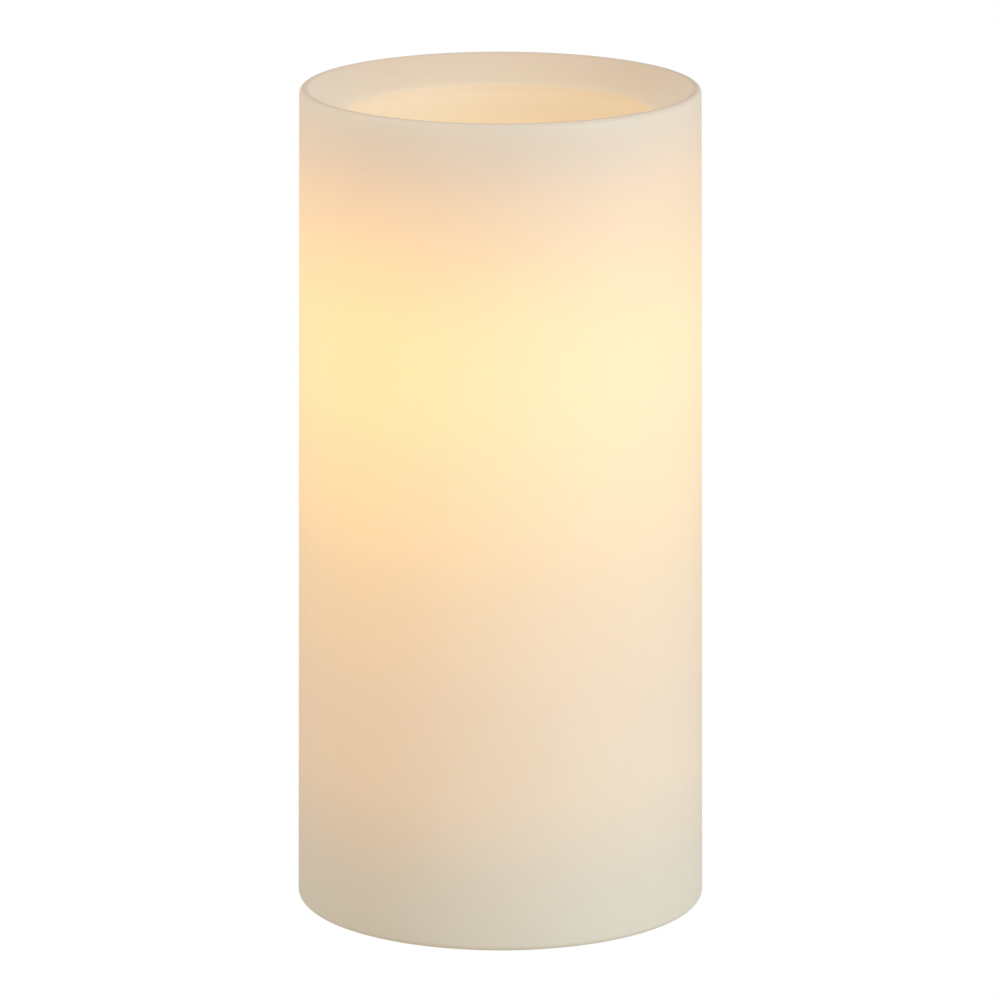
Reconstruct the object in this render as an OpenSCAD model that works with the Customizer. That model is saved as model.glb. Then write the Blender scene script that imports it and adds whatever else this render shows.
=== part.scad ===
// Flameless LED candle: a hollow wax pillar over a low plastic base unit that
// holds three AAA cells, a slide switch, a timer board and a tall LED post.
// Units are millimetres. Z is up, the origin is the centre of the footprint on
// the table, X is to the right and -Y is the front.

/* [Wax pillar] */
// Overall height, table to rim crest
candle_h = 155; // [140:0.5:170]
// Diameter at the foot
candle_d = 76.2; // [76.2:0.1:82]
// How much narrower the pillar is at the crest, from the mould's draft
draft_loss = 2.2; // [0:0.1:4]
// Radius of the rounded bottom edge
foot_round = 1.2; // [0.8:0.1:3]
// Radius of the rounded rim crest
crest_round = 1; // [0.8:0.1:2.4]
// Radius of the well at its mouth
well_mouth_r = 28.2; // [26:0.1:29.5]
// Drop of the sloped rim face, crest to well mouth
rim_drop = 4.2; // [2:0.1:6]
// Depth of the well floor under the crest
well_depth = 27; // [24:0.5:30]
// Radius where the well wall meets its floor
well_floor_round = 4; // [2:0.5:6]
// Wax between the well floor and the light chamber
floor_wax = 5.5; // [4:0.5:8]
// Radius of the light chamber at its bottom
chamber_r = 29.5; // [28:0.1:30]
// Radius of the light chamber's rounded roof edge
chamber_round = 5; // [3:0.5:8]

/* [Base unit] */
// Height of the foot pads that stand out under the base
pad_stand = 0.8; // [0.5:0.1:1]
// Radius of the base flange
flange_r = 33.6; // [33.4:0.1:33.8]
// Radius of the base housing's wall
base_wall_r = 32.4; // [32.2:0.1:32.6]
// Thickness of the housing's wall
base_wall = 1.4; // [1.2:0.1:1.5]
// Thickness of the housing's floor
base_floor = 2; // [1.8:0.1:2.2]
// Height of the cover's underside above the table
cover_z = 17.4; // [17:0.1:18]
// Thickness of the top cover
cover_t = 1.5; // [1.2:0.1:2]

/* [Batteries] */
// Diameter of an AAA cell
cell_d = 10.5; // [10.3:0.1:10.5]
// Length of an AAA cell over its plus nub
cell_l = 44.5; // [44.1:0.1:44.5]
// Distance between neighbouring cells
cell_pitch = 11; // [10.8:0.05:11.1]
// Height of the cells' axes
cell_z = 8.4; // [8.3:0.1:8.6]
// Diameter of the contact springs' wire
spring_wire = 0.6; // [0.5:0.05:0.7]
// Turns of each contact spring
spring_turns = 3.5; // [3:0.5:4]

/* [Battery door] */
// Opening angle of the door
door_open = 0; // [0:5:90]
// Deflection of the latch tongue
latch_press = 0; // [0:1:8]

/* [Switch] */
// Position of the switch button: 0 on, 2 off, 4 timer
switch_travel = 0; // [0:0.5:4]

/* [Light] */
// Height of the LED holder above the table
led_z = 86; // [70:1:92]
// Radius of the frosted lens
lens_r = 7.5; // [6.5:0.5:9]

/* [Hidden] */
$fn = 96;

// Pillar
base_z = pad_stand;
base_r = candle_d / 2;
crest_r = base_r - draft_loss / 2;
foot_c = [base_r - foot_round, base_z + foot_round];
crest_c = [crest_r - crest_round, candle_h - crest_round];
well_mouth_z = candle_h - rim_drop;
well_floor_z = candle_h - well_depth;
well_floor_r = well_mouth_r - 1;
mouth_round = 1.2;
chamber_top_z = well_floor_z - floor_wax;
chamber_top_r = chamber_r - 1;
insert_gap = 0.4;
insert_r = base_wall_r + insert_gap;
flange_gap = 0.3;
screw_head_h = 1.3;
bead_h = 3;
bead_z = 9;
insert_top_z = cover_z + cover_t + screw_head_h + 0.3;

// Base unit
floor_top = base_z + base_floor;
base_in_r = base_wall_r - base_wall;
bay_x = 25;
bay_y = 1.5 * cell_pitch;
bay_wall = 1.2;
bay_roof = cell_z + cell_d / 2 + 0.35;
bay_roof_t = 1.2;
cover_screw_at = [19.8, 21.2];
cover_boss_r = 2.4;
board_boss_r = 1.8;
cover_thread_r = 0.9;
board_thread_r = 0.75;
switch_boss_r = 1.6;
switch_pin_r = 0.8;
switch_pin_h = 1.4;
rib_x = 12;
rib_half = 0.2;
pad_at = 21.2;
pad_r = 3;
pad_sink = 0.4;

// Battery door
door_t = 1.6;
door_top = base_z + door_t;
door_half_y = bay_y + 0.8;
door_gap = 0.3;
hinge_x = -28;
hinge_z = base_z + 2;
barrel_r = 2;
barrel_half = 9;
trunnion_r = 1;
trunnion_l = 2;
trunnion_gap = 0.05;
door_left = hinge_x + 2.4;
door_right = bay_x + 0.9;
latch_half = 5;
latch_pivot = [28, 7.4];
latch_seat_r = 1.3;
latch_head_r = 1.2;
pocket_x = 30.3;
pocket_top = 9.4;
hinge_block_half = 12;
latch_block_half = 7.4;
rib_w = 1;
grip_x = 12;
grip_pitch = 2.2;
grip_grooves = 4;

// Contacts
plate_t = 0.4;
plate_w = 8;
plate_low = door_top + 1;
bump_h = 0.5;
spring_big_r = 3.6;
spring_taper = 1.2;
nub_l = 1;
nub_r = 1.9;
cell_end = bay_x - plate_t - bump_h;

// Switch
switch_y = -24.2;
knob_w = 3.4;
knob_d = 3.2;
on_x = 2;
knob_gap = 0.25;
dish_x = 6;
dish_r = 3.4;
dish_depth = 0.6;
frame_z = floor_top + 2.2;
frame_l = 11;
frame_w = 5.2;
frame_h = 4.2;
ear_x = 10.4;

// Board
board_y = 22.9;
board_l = 28;
board_w = 8;
board_z = 8;
board_t = 1.2;
board_top = board_z + board_t;
board_screw_x = 11.6;

// Light
post_z = cover_z + cover_t;
post_low_r = 5;
post_top_r = 4;
post_bore = 2.5;
holder_r = 4.6;
holder_h = 6;
holder_flange_h = 1.5;
lead_x = 1.27;
lens_h = 20;
lens_wall = 1.4;
lens_seat = 2;
led_r = 2.5;
led_base_z = led_z + holder_h;

// Wires
over_bay_z = bay_roof + bay_roof_t + 0.9;
led_wire_up = led_z - 4.2;
wire_r = 0.45;
wire_left = -bay_x - bay_wall - 0.6;
wire_end_y = board_y - 3.2;

// Angle of the outward normal of the line that touches two rounds, from a to b with
// the outside on its right
function tangent_angle(a, ra, b, rb) =
    atan2(b.y - a.y, b.x - a.x) - acos((ra - rb) / norm(b - a));
wall_a = tangent_angle(foot_c, foot_round, crest_c, crest_round);

function unit(v) = v / norm(v);
// Points along straight runs with rounded corners, from a list of corner points
function corner(a, b, c, r, k) =
    let (p = b + unit(a - b) * r, q = b + unit(c - b) * r, t = k / 4)
    (1 - t) * (1 - t) * p + 2 * t * (1 - t) * b + t * t * q;
function route(pts, r) = concat(
    [pts[0]],
    [for (i = [1 : len(pts) - 2], k = [0 : 4]) corner(pts[i - 1], pts[i], pts[i + 1], r, k)],
    [pts[len(pts) - 1]]
);
function tangent(path, i) =
    unit(path[min(i + 1, len(path) - 1)] - path[max(i - 1, 0)]);
// A side direction carried along the path, so that the tube never twists
function carried(path, i) =
    i == 0
    ? unit(cross(tangent(path, 0), abs(tangent(path, 0).x) < 0.8 ? [1, 0, 0] : [0, 1, 0]))
    : let (s = carried(path, i - 1), t = tangent(path, i)) unit(s - t * (s * t));

// A round wire swept along a path
module sweep(path, r, sides = 8) {
    n = len(path);
    points = [
        for (i = [0 : n - 1])
            let (t = tangent(path, i), s = carried(path, i), u = cross(t, s))
            for (k = [0 : sides - 1]) path[i] + r * (cos(k * 360 / sides) * s + sin(k * 360 / sides) * u)
    ];
    walls = [
        for (i = [0 : n - 2], k = [0 : sides - 1])
            let (l = (k + 1) % sides)
            [i * sides + k, (i + 1) * sides + k, (i + 1) * sides + l, i * sides + l]
    ];
    ends = [
        [for (k = [0 : sides - 1]) k],
        [for (k = [sides - 1 : -1 : 0]) (n - 1) * sides + k]
    ];
    polyhedron(points, concat(walls, ends));
}

// A block given by two opposite corners
module block(low, high) {
    translate(low) cube(high - low);
}

// A solid drawn in the X-Z plane and pushed along Y, centred on y = 0
module side_profile(half) {
    rotate([90, 0, 0]) linear_extrude(height = 2 * half, center = true) children();
}

// ---------------------------------------------------------------- pillar

module chamber_outline() {
    polygon([
        [0, insert_top_z - 1], [chamber_r, insert_top_z - 1],
        [chamber_top_r, chamber_top_z - chamber_round],
        [chamber_top_r - chamber_round, chamber_top_z], [0, chamber_top_z]
    ]);
    intersection() {
        translate([chamber_top_r - chamber_round, chamber_top_z - chamber_round])
            circle(r = chamber_round);
        translate([0, chamber_top_z - chamber_round]) square([chamber_top_r, chamber_round]);
    }
    square([insert_r, insert_top_z]);
    square([flange_r + flange_gap, floor_top + 0.2]);
}

module wax_section() {
    n = [cos(wall_a), sin(wall_a)];
    lip = [well_mouth_r + mouth_round, well_mouth_z - mouth_round];
    slope_a = tangent_angle(crest_c, crest_round, lip, mouth_round);
    s = [cos(slope_a), sin(slope_a)];
    difference() {
        union() {
            polygon([
                [0, base_z], [foot_c.x, base_z], foot_c, foot_c + foot_round * n,
                crest_c + crest_round * n, crest_c, crest_c + crest_round * s,
                lip + mouth_round * s, lip, [well_mouth_r, lip.y], [0, lip.y]
            ]);
            translate(foot_c) circle(r = foot_round);
            translate(crest_c) circle(r = crest_round);
            translate(lip) circle(r = mouth_round);
        }
        polygon([
            [0, well_floor_z], [well_floor_r - well_floor_round, well_floor_z],
            [well_floor_r, well_floor_z + well_floor_round], [well_mouth_r, lip.y],
            [0, lip.y + 0.1]
        ]);
        intersection() {
            translate([well_floor_r - well_floor_round, well_floor_z + well_floor_round])
                circle(r = well_floor_round);
            translate([0, well_floor_z]) square([well_floor_r, well_floor_round]);
        }
        chamber_outline();
    }
}

module wax_shell() {
    color("#f2dcb4") rotate_extrude($fn = 180) wax_section();
}

// Beads of hot glue between the insert's wall and the wax
module glue_beads() {
    color("#e9e4d4")
        for (a = [22.5 : 45 : 337.5])
            rotate(a - 6)
                rotate_extrude(angle = 12, $fn = 120)
                    translate([base_wall_r, bead_z]) square([insert_gap - 0.02, bead_h]);
}

// ---------------------------------------------------------------- base unit

module bay_shape(grow) {
    block([-bay_x - grow, -bay_y - grow, base_z - 1], [bay_x + grow, bay_y + grow, bay_roof + grow]);
}

module screw_boss(x, y, z0, z1, r) {
    translate([x, y, z0]) cylinder(r = r, h = z1 - z0);
}

module four_corners(x, y) {
    for (sx = [-1, 1], sy = [-1, 1]) translate([sx * x, sy * y, 0]) children();
}

// Cradle ribs that hold the cells apart, hanging from the bay's roof
module cell_ribs() {
    for (x = [-rib_x, rib_x], y = [-cell_pitch / 2, cell_pitch / 2])
        block([x - 1, y - rib_half, cell_z + 2.4], [x + 1, y + rib_half, bay_roof + 0.2]);
}

module base_housing() {
    color("#ece6d6") {
        difference() {
            union() {
                translate([0, 0, base_z]) cylinder(r = flange_r, h = base_floor, $fn = 120);
                difference() {
                    translate([0, 0, base_z]) cylinder(r = base_wall_r, h = cover_z - base_z, $fn = 120);
                    translate([0, 0, floor_top]) cylinder(r = base_in_r, h = cover_z, $fn = 120);
                }
                intersection() {
                    union() {
                        bay_shape(bay_wall);
                        // Solid blocks round the hinge notch and the latch pocket
                        block([hinge_x - 3.8, -hinge_block_half, base_z],
                              [-bay_x, hinge_block_half, hinge_z + 3.6]);
                        block([bay_x, -latch_block_half, base_z],
                              [pocket_x + 1, latch_block_half, pocket_top + 1]);
                        four_corners(cover_screw_at.x, cover_screw_at.y)
                            translate([0, 0, base_z]) cylinder(r = cover_boss_r, h = cover_z - base_z);
                    }
                    translate([0, 0, base_z]) cylinder(r = base_wall_r, h = cover_z, $fn = 120);
                }
                for (x = [-board_screw_x, board_screw_x])
                    screw_boss(x, board_y, base_z, board_z, board_boss_r);
                for (x = [-ear_x, ear_x]) {
                    screw_boss(x, switch_y, base_z, frame_z, switch_boss_r);
                    screw_boss(x, switch_y, base_z, frame_z + switch_pin_h, switch_pin_r);
                }
            }
            bay_shape(0);
            // Seat for the door and its finger gap
            block([door_left - 0.35, -door_half_y - door_gap, base_z - 1],
                  [door_right + door_gap, door_half_y + door_gap, door_top + 0.05]);
            // Hinge notch, with a blind bore on each side for the door's trunnions
            block([hinge_x - barrel_r - 0.6, -barrel_half - 0.2, base_z - 1],
                  [-bay_x + 1, barrel_half + 0.2, hinge_z + barrel_r + 0.3]);
            translate([hinge_x, 0, hinge_z]) rotate([90, 0, 0])
                cylinder(r = trunnion_r + trunnion_gap, h = 2 * (barrel_half + trunnion_l + 0.3),
                         center = true, $fn = 48);
            // Latch pocket
            block([bay_x - 1, -latch_half - 1, base_z - 1], [pocket_x, latch_half + 1, pocket_top]);
            // Switch slot
            block([-on_x - knob_w / 2 - knob_gap, switch_y - knob_d / 2 - knob_gap, base_z - 1],
                  [on_x + knob_w / 2 + knob_gap, switch_y + knob_d / 2 + knob_gap, floor_top + 1]);
            // Shallow finger dish around the slot
            translate([0, switch_y, base_z - 0.1]) linear_extrude(height = dish_depth + 0.1)
                hull()
                    for (x = [-dish_x, dish_x]) translate([x, 0]) circle(r = dish_r, $fn = 32);
            // Recesses for the foot pads
            four_corners(pad_at, pad_at)
                translate([0, 0, base_z - 1]) cylinder(r = pad_r + 0.15, h = 1 + pad_sink);
            // Pilot holes
            four_corners(cover_screw_at.x, cover_screw_at.y)
                translate([0, 0, cover_z - 8]) cylinder(r = cover_thread_r, h = 9);
            for (x = [-board_screw_x, board_screw_x])
                translate([x, board_y, board_z - 5]) cylinder(r = board_thread_r, h = 6);
        }
        cell_ribs();
    }
}

module foot_pads() {
    color("#f4f2ec")
        four_corners(pad_at, pad_at) cylinder(r = pad_r, h = base_z + pad_sink);
}

module top_cover() {
    color("#ece6d6")
        difference() {
            union() {
                translate([0, 0, cover_z]) cylinder(r = base_wall_r, h = cover_t, $fn = 120);
                // Locating rim inside the housing's wall
                difference() {
                    translate([0, 0, cover_z - 1.2]) cylinder(r = base_in_r - 0.15, h = 1.3, $fn = 120);
                    translate([0, 0, cover_z - 2]) cylinder(r = base_in_r - 1.1, h = 3, $fn = 120);
                    four_corners(cover_screw_at.x, cover_screw_at.y)
                        translate([0, 0, cover_z - 2]) cylinder(r = 2.8, h = 3);
                    for (x = [-28, 28]) block([x - 4.5, -19, cover_z - 2], [x + 4.5, 19, cover_z]);
                }
                // Socket for the LED post
                translate([0, 0, cover_z]) cylinder(r = post_low_r + 2.2, h = cover_t + 4);
            }
            translate([0, 0, cover_z + cover_t]) cylinder(r = post_low_r + 0.05, h = 10);
            translate([0, 0, cover_z - 1]) cylinder(r = post_bore, h = 10);
            four_corners(cover_screw_at.x, cover_screw_at.y)
                translate([0, 0, cover_z - 1]) cylinder(r = 1.3, h = 5);
        }
}

// A pan-head screw, head at z = 0, shank downwards
module pan_screw(shank_r, shank_l, head_r, head_h) {
    difference() {
        union() {
            translate([0, 0, -shank_l]) cylinder(r = shank_r, h = shank_l + 0.1);
            rotate_extrude() intersection() {
                square([head_r, head_h]);
                translate([0, head_h - head_r * 1.4]) circle(r = head_r * 1.4);
            }
        }
        for (a = [0, 90]) rotate(a)
            translate([-head_r * 0.55, -head_r * 0.12, head_h * 0.45])
                cube([head_r * 1.1, head_r * 0.24, head_h]);
    }
}

module cover_screws() {
    color("silver")
        four_corners(cover_screw_at.x, cover_screw_at.y)
            translate([0, 0, cover_z + cover_t]) pan_screw(0.9, 6.5, 2.1, screw_head_h);
}

// ---------------------------------------------------------------- battery door

module door_pose() {
    translate([hinge_x, 0, hinge_z]) rotate([0, door_open, 0]) translate([-hinge_x, 0, -hinge_z])
        children();
}

module battery_door() {
    color("#ece6d6") door_pose() {
        difference() {
            union() {
                // Panel, bevelled at the hinge end so that it clears the floor as it swings
                side_profile(door_half_y)
                    polygon([
                        [door_left, base_z], [door_right, base_z], [door_right, door_top],
                        [door_left + 1.2, door_top]
                    ]);
                side_profile(barrel_half)
                    polygon([
                        [hinge_x, base_z], [door_left + 2, base_z], [door_left + 2, door_top],
                        [hinge_x, door_top]
                    ]);
                translate([hinge_x, 0, hinge_z]) rotate([90, 0, 0])
                    cylinder(r = barrel_r, h = 2 * barrel_half, center = true, $fn = 64);
                translate([hinge_x, 0, hinge_z]) rotate([90, 0, 0])
                    cylinder(r = trunnion_r, h = 2 * (barrel_half + trunnion_l), center = true, $fn = 48);
                // Inner leg of the latch, with the seat that the tongue turns in
                side_profile(latch_half)
                    polygon([
                        [door_right - 1, base_z], [door_right + 0.9, base_z],
                        [door_right + 0.9, latch_pivot.y - 2],
                        [latch_pivot.x - 0.2, latch_pivot.y - 1.2],
                        [latch_pivot.x - 0.2, latch_pivot.y + 1.2],
                        [door_right + 0.2, latch_pivot.y + 1.2],
                        [door_right - 0.1, latch_pivot.y], [door_right - 0.1, door_top]
                    ]);
                // Stiffening ribs that also steady the cells
                for (y = [-cell_pitch / 2, cell_pitch / 2])
                    block([-20, y - rib_w / 2, door_top - 0.1],
                          [20, y + rib_w / 2, cell_z - cell_d / 2 + 1.1]);
            }
            translate([latch_pivot.x, 0, latch_pivot.y]) rotate([90, 0, 0])
                cylinder(r = latch_seat_r, h = 30, center = true, $fn = 48);
            // Grip grooves across the outside, near the latch
            for (i = [0 : grip_grooves - 1])
                let (x = grip_x + grip_pitch * i)
                    block([x, -latch_half, base_z - 1], [x + 1, latch_half, base_z + 0.4]);
        }
    }
}

module latch_tongue() {
    color("#ece6d6") door_pose()
        translate([latch_pivot.x, 0, latch_pivot.y]) rotate([0, latch_press, 0])
            translate([-latch_pivot.x, 0, -latch_pivot.y]) {
                translate([latch_pivot.x, 0, latch_pivot.y]) rotate([90, 0, 0])
                    cylinder(r = latch_head_r, h = 2 * latch_half, center = true, $fn = 48);
                side_profile(latch_half)
                    polygon([
                        [latch_pivot.x + 0.1, latch_pivot.y], [latch_pivot.x + 0.1, base_z],
                        [latch_pivot.x + 1.8, base_z], [latch_pivot.x + 1.8, base_z + 1.4],
                        [latch_pivot.x + 1.2, base_z + 1.8], [latch_pivot.x + 1.2, base_z + 2.6],
                        [latch_pivot.x + 1.8, base_z + 2.8], [latch_pivot.x + 1.2, base_z + 4.4],
                        [latch_pivot.x + 1.2, latch_pivot.y]
                    ]);
            }
}

// ---------------------------------------------------------------- power

// Side that the plus end of cell i faces
function plus_side(i) = i == 2 ? -1 : 1;
function cell_y(i) = (i - 2) * cell_pitch;

module battery(i) {
    body_l = cell_l - nub_l;
    color("#c9a23a")
        translate([plus_side(i) * (cell_end - cell_l), cell_y(i), cell_z])
            rotate([0, plus_side(i) * 90, 0]) {
                rotate_extrude() polygon([
                    [0, 0], [cell_d / 2 - 1.2, 0], [cell_d / 2 - 1.2, 0.3], [cell_d / 2 - 0.4, 0.3],
                    [cell_d / 2, 0.7], [cell_d / 2, body_l - 0.7], [cell_d / 2 - 0.4, body_l - 0.3],
                    [cell_d / 2 - 1.2, body_l - 0.3], [cell_d / 2 - 1.2, body_l], [nub_r, body_l],
                    [nub_r, cell_l - 0.2], [nub_r - 0.2, cell_l], [0, cell_l]
                ]);
            }
}

// Contact spring of cell i, narrowing towards the cell
module battery_spring(i) {
    back = bay_x - plate_t - spring_wire / 2;
    front = cell_l - cell_end + spring_wire / 2;
    steps = 16 * spring_turns;
    path = [
        for (k = [0 : steps])
            let (t = k / steps, a = 360 * spring_turns * t, r = spring_big_r - spring_taper * t)
            [-plus_side(i) * (back - (back - front) * t), cell_y(i) + r * cos(a), cell_z + r * sin(a)]
    ];
    color("silver") sweep(path, spring_wire / 2);
}

// Spring steel plate standing against a bay end, from y0 to y1
module contact_plate(side, y0, y1) {
    block([side > 0 ? bay_x - plate_t : -bay_x, y0, plate_low],
          [side > 0 ? bay_x : -bay_x + plate_t, y1, cell_z + 4.4]);
}

// Raised bump that touches the plus nub of cell i
module contact_bump(i) {
    translate([plus_side(i) * (bay_x - plate_t + 0.05), cell_y(i), cell_z])
        rotate([0, -plus_side(i) * 90, 0]) cylinder(r1 = 2.2, r2 = 1.4, h = bump_h + 0.05, $fn = 32);
}

module negative_contact() {
    color("silver") contact_plate(-1, cell_y(3) - plate_w / 2, cell_y(3) + plate_w / 2);
}

module positive_contact() {
    color("silver") {
        contact_plate(1, cell_y(1) - plate_w / 2, cell_y(1) + plate_w / 2);
        contact_bump(1);
    }
}

module jumper_contact_left() {
    color("silver") {
        contact_plate(-1, cell_y(1) - plate_w / 2, cell_y(2) + plate_w / 2);
        contact_bump(2);
    }
}

module jumper_contact_right() {
    color("silver") {
        contact_plate(1, cell_y(2) - plate_w / 2, cell_y(3) + plate_w / 2);
        contact_bump(3);
    }
}

// ---------------------------------------------------------------- switch

module switch_frame() {
    color("silver") difference() {
        union() {
            block([-frame_l / 2, switch_y - frame_w / 2, frame_z],
                  [frame_l / 2, switch_y + frame_w / 2, frame_z + frame_h]);
            block([-ear_x - 1.8, switch_y - 1.8, frame_z], [ear_x + 1.8, switch_y + 1.8, frame_z + 0.4]);
        }
        block([-frame_l / 2 + 0.4, switch_y - frame_w / 2 + 0.4, frame_z + 0.4],
              [frame_l / 2 - 0.4, switch_y + frame_w / 2 - 0.4, frame_z + frame_h + 1]);
        block([-on_x - 1.5, switch_y - 1.2, frame_z - 1], [on_x + 1.5, switch_y + 1.2, frame_z + 1]);
        for (x = [-ear_x, ear_x]) translate([x, switch_y, frame_z - 1]) cylinder(r = 0.9, h = 3);
    }
}

module switch_base() {
    color("#8a5a2b")
        block([-frame_l / 2 + 0.4, switch_y - frame_w / 2 + 0.4, frame_z + frame_h - 1.2],
              [frame_l / 2 - 0.4, switch_y + frame_w / 2 - 0.4, frame_z + frame_h + 0.2]);
}

module switch_slider() {
    color("#222222") translate([on_x - switch_travel, switch_y, 0]) {
        block([-2.4, -1.8, frame_z + 0.6], [2.4, 1.8, frame_z + frame_h - 1.5]);
        block([-1.1, -0.9, floor_top + 0.9], [1.1, 0.9, frame_z + 0.7]);
    }
}

module switch_button() {
    color("#2b2b2b") translate([on_x - switch_travel, switch_y, 0])
        difference() {
            union() {
                block([-6.1, -2.6, floor_top + 0.1], [6.1, 2.6, floor_top + 0.9]);
                block([-knob_w / 2, -knob_d / 2, base_z + 0.1],
                      [knob_w / 2, knob_d / 2, floor_top + 0.2]);
            }
            for (x = [-0.9, 0, 0.9])
                block([x - 0.2, -knob_d, base_z], [x + 0.2, knob_d, base_z + 0.4]);
        }
}

module switch_terminals() {
    color("silver")
        for (x = [-3.2, 0, 3.2])
            block([x - 0.6, switch_y - 0.2, frame_z + frame_h + 0.2],
                  [x + 0.6, switch_y + 0.2, frame_z + frame_h + 2]);
}

// ---------------------------------------------------------------- board

module circuit_board() {
    color("#2f6b3a") difference() {
        block([-board_l / 2, board_y - board_w / 2, board_z],
              [board_l / 2, board_y + board_w / 2, board_top]);
        for (x = [-board_screw_x, board_screw_x])
            translate([x, board_y, board_z - 1]) cylinder(r = 1, h = 3);
    }
}

module board_screws() {
    color("silver")
        for (x = [-board_screw_x, board_screw_x])
            translate([x, board_y, board_top]) pan_screw(0.75, 4.5, 1.7, 1);
}

module control_chip() {
    color("#1c1c1c")
        block([-2.5, board_y - 2, board_top], [2.5, board_y + 2, board_top + 1.5]);
    color("silver")
        for (x = [-1.9 : 1.27 : 1.95], s = [-1, 1])
            block([x - 0.2, board_y + s * 2.4 - 0.4, board_top],
                  [x + 0.2, board_y + s * 2.4 + 0.4, board_top + 0.6]);
}

module timer_crystal() {
    color("silver")
        translate([6.4, board_y - 2, board_top]) {
            translate([0, 0, 1]) rotate([0, 90, 0]) cylinder(r = 1, h = 6, center = true, $fn = 48);
            block([-1, -1, 0], [1, 1, 0.6]);
        }
}

module resistors() {
    color("#d8c39a")
        for (x = [-6.2, 6.2])
            block([x - 1, board_y + 1.6, board_top], [x + 1, board_y + 2.8, board_top + 0.6]);
}

module capacitor() {
    color("#c8873a")
        translate([-6.6, board_y - 1.4, board_top]) cylinder(r = 2, h = 4.6, $fn = 64);
}

// ---------------------------------------------------------------- light

module led_post() {
    color("#f1ede2")
        rotate_extrude() difference() {
            polygon([
                [0, post_z], [post_low_r, post_z], [post_low_r, post_z + 6], [post_top_r, led_z],
                [0, led_z]
            ]);
            square([post_bore, led_z + 1]);
        }
}

module led_holder() {
    color("#f7f5ef")
        rotate_extrude() difference() {
            union() {
                translate([0, led_z]) square([holder_r, holder_h]);
                translate([0, led_z]) square([holder_r + 1.2, holder_flange_h]);
            }
            translate([0, led_z - 1]) square([post_bore, holder_h - 0.6]);
            translate([0, led_z + holder_h - 2]) square([led_r + 0.55, 3]);
        }
}

module led() {
    color("#ffb347", 0.85)
        translate([0, 0, led_base_z - 1.2]) rotate_extrude() {
            square([led_r + 0.4, 1]);
            square([led_r, 6]);
            intersection() {
                translate([0, 6]) circle(r = led_r);
                translate([0, 6]) square(led_r);
            }
        }
}

module led_leads() {
    color("silver")
        for (x = [-lead_x, lead_x])
            block([x - 0.25, -0.25, led_z - 4], [x + 0.25, 0.25, led_base_z - 1.2]);
}

// The lens's outline, a bullet of radius r whose top is h above its foot
module bullet(r, h) {
    square([r, h - r]);
    translate([0, h - r]) intersection() {
        circle(r = r);
        square(r);
    }
}

// Frosted cap that spreads the light. Its inner rim fits round the holder and rests on
// the holder's flange
module flame_lens() {
    color("#fff4dc", 0.6)
        translate([0, 0, led_z + holder_flange_h]) rotate_extrude() difference() {
            bullet(lens_r, lens_h);
            translate([0, -1]) square([holder_r + 0.05, holder_h]);
            translate([0, lens_seat]) bullet(lens_r - lens_wall, lens_h - lens_wall - lens_seat);
        }
}

// ---------------------------------------------------------------- wires

module led_wires() {
    color("#b03a2e") for (x = [-lead_x, lead_x])
        sweep(route([
            [x * 2.4, board_y - 3.4, board_top + 0.1], [x * 2.4, board_y - 3.4, over_bay_z],
            [x, 0, over_bay_z], [x, 0, led_wire_up]
        ], 1.2), wire_r);
}

module battery_wires() {
    color("#222222")
        sweep(route([
            [wire_left, 13, 12.6], [wire_left, 13, over_bay_z], [-19, 15, over_bay_z],
            [-12.6, wire_end_y, over_bay_z], [-12.6, wire_end_y, board_top + 0.1]
        ], 1), wire_r);
}

module switch_wires() {
    color("#b03a2e")
        sweep(route([
            [-3.2, switch_y, frame_z + frame_h + 2.1], [-3.2, switch_y, over_bay_z],
            [-8, -10, over_bay_z], [-9.3, wire_end_y, over_bay_z],
            [-9.3, wire_end_y, board_top + 0.1]
        ], 1), wire_r);
}

wax_shell();
glue_beads();
base_housing();
foot_pads();
top_cover();
cover_screws();
battery_door();
latch_tongue();
battery(1);  // battery_1
battery(2);  // battery_2
battery(3);  // battery_3
battery_spring(1);  // spring_1
battery_spring(2);  // spring_2
battery_spring(3);  // spring_3
negative_contact();
positive_contact();
jumper_contact_left();
jumper_contact_right();
switch_frame();
switch_base();
switch_slider();
switch_button();
switch_terminals();
circuit_board();
board_screws();
control_chip();
timer_crystal();
resistors();
capacitor();
led_post();
led_holder();
led();
led_leads();
flame_lens();
led_wires();
battery_wires();
switch_wires();
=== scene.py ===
"""Looks of a flameless LED candle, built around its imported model.

The wax pillar, the cells, the springs, the wires and the soft-edged mouldings of the
base are made here and stand for the plain solids of the model. Every other node keeps
its shape and gets a finish. Lengths are metres in the model's own frame: Z is up, -Y is
the front and the origin is the centre of the footprint.
"""

import logging
import math
from dataclasses import dataclass
from enum import Enum
from typing import Callable, Optional, Sequence, Union

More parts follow.
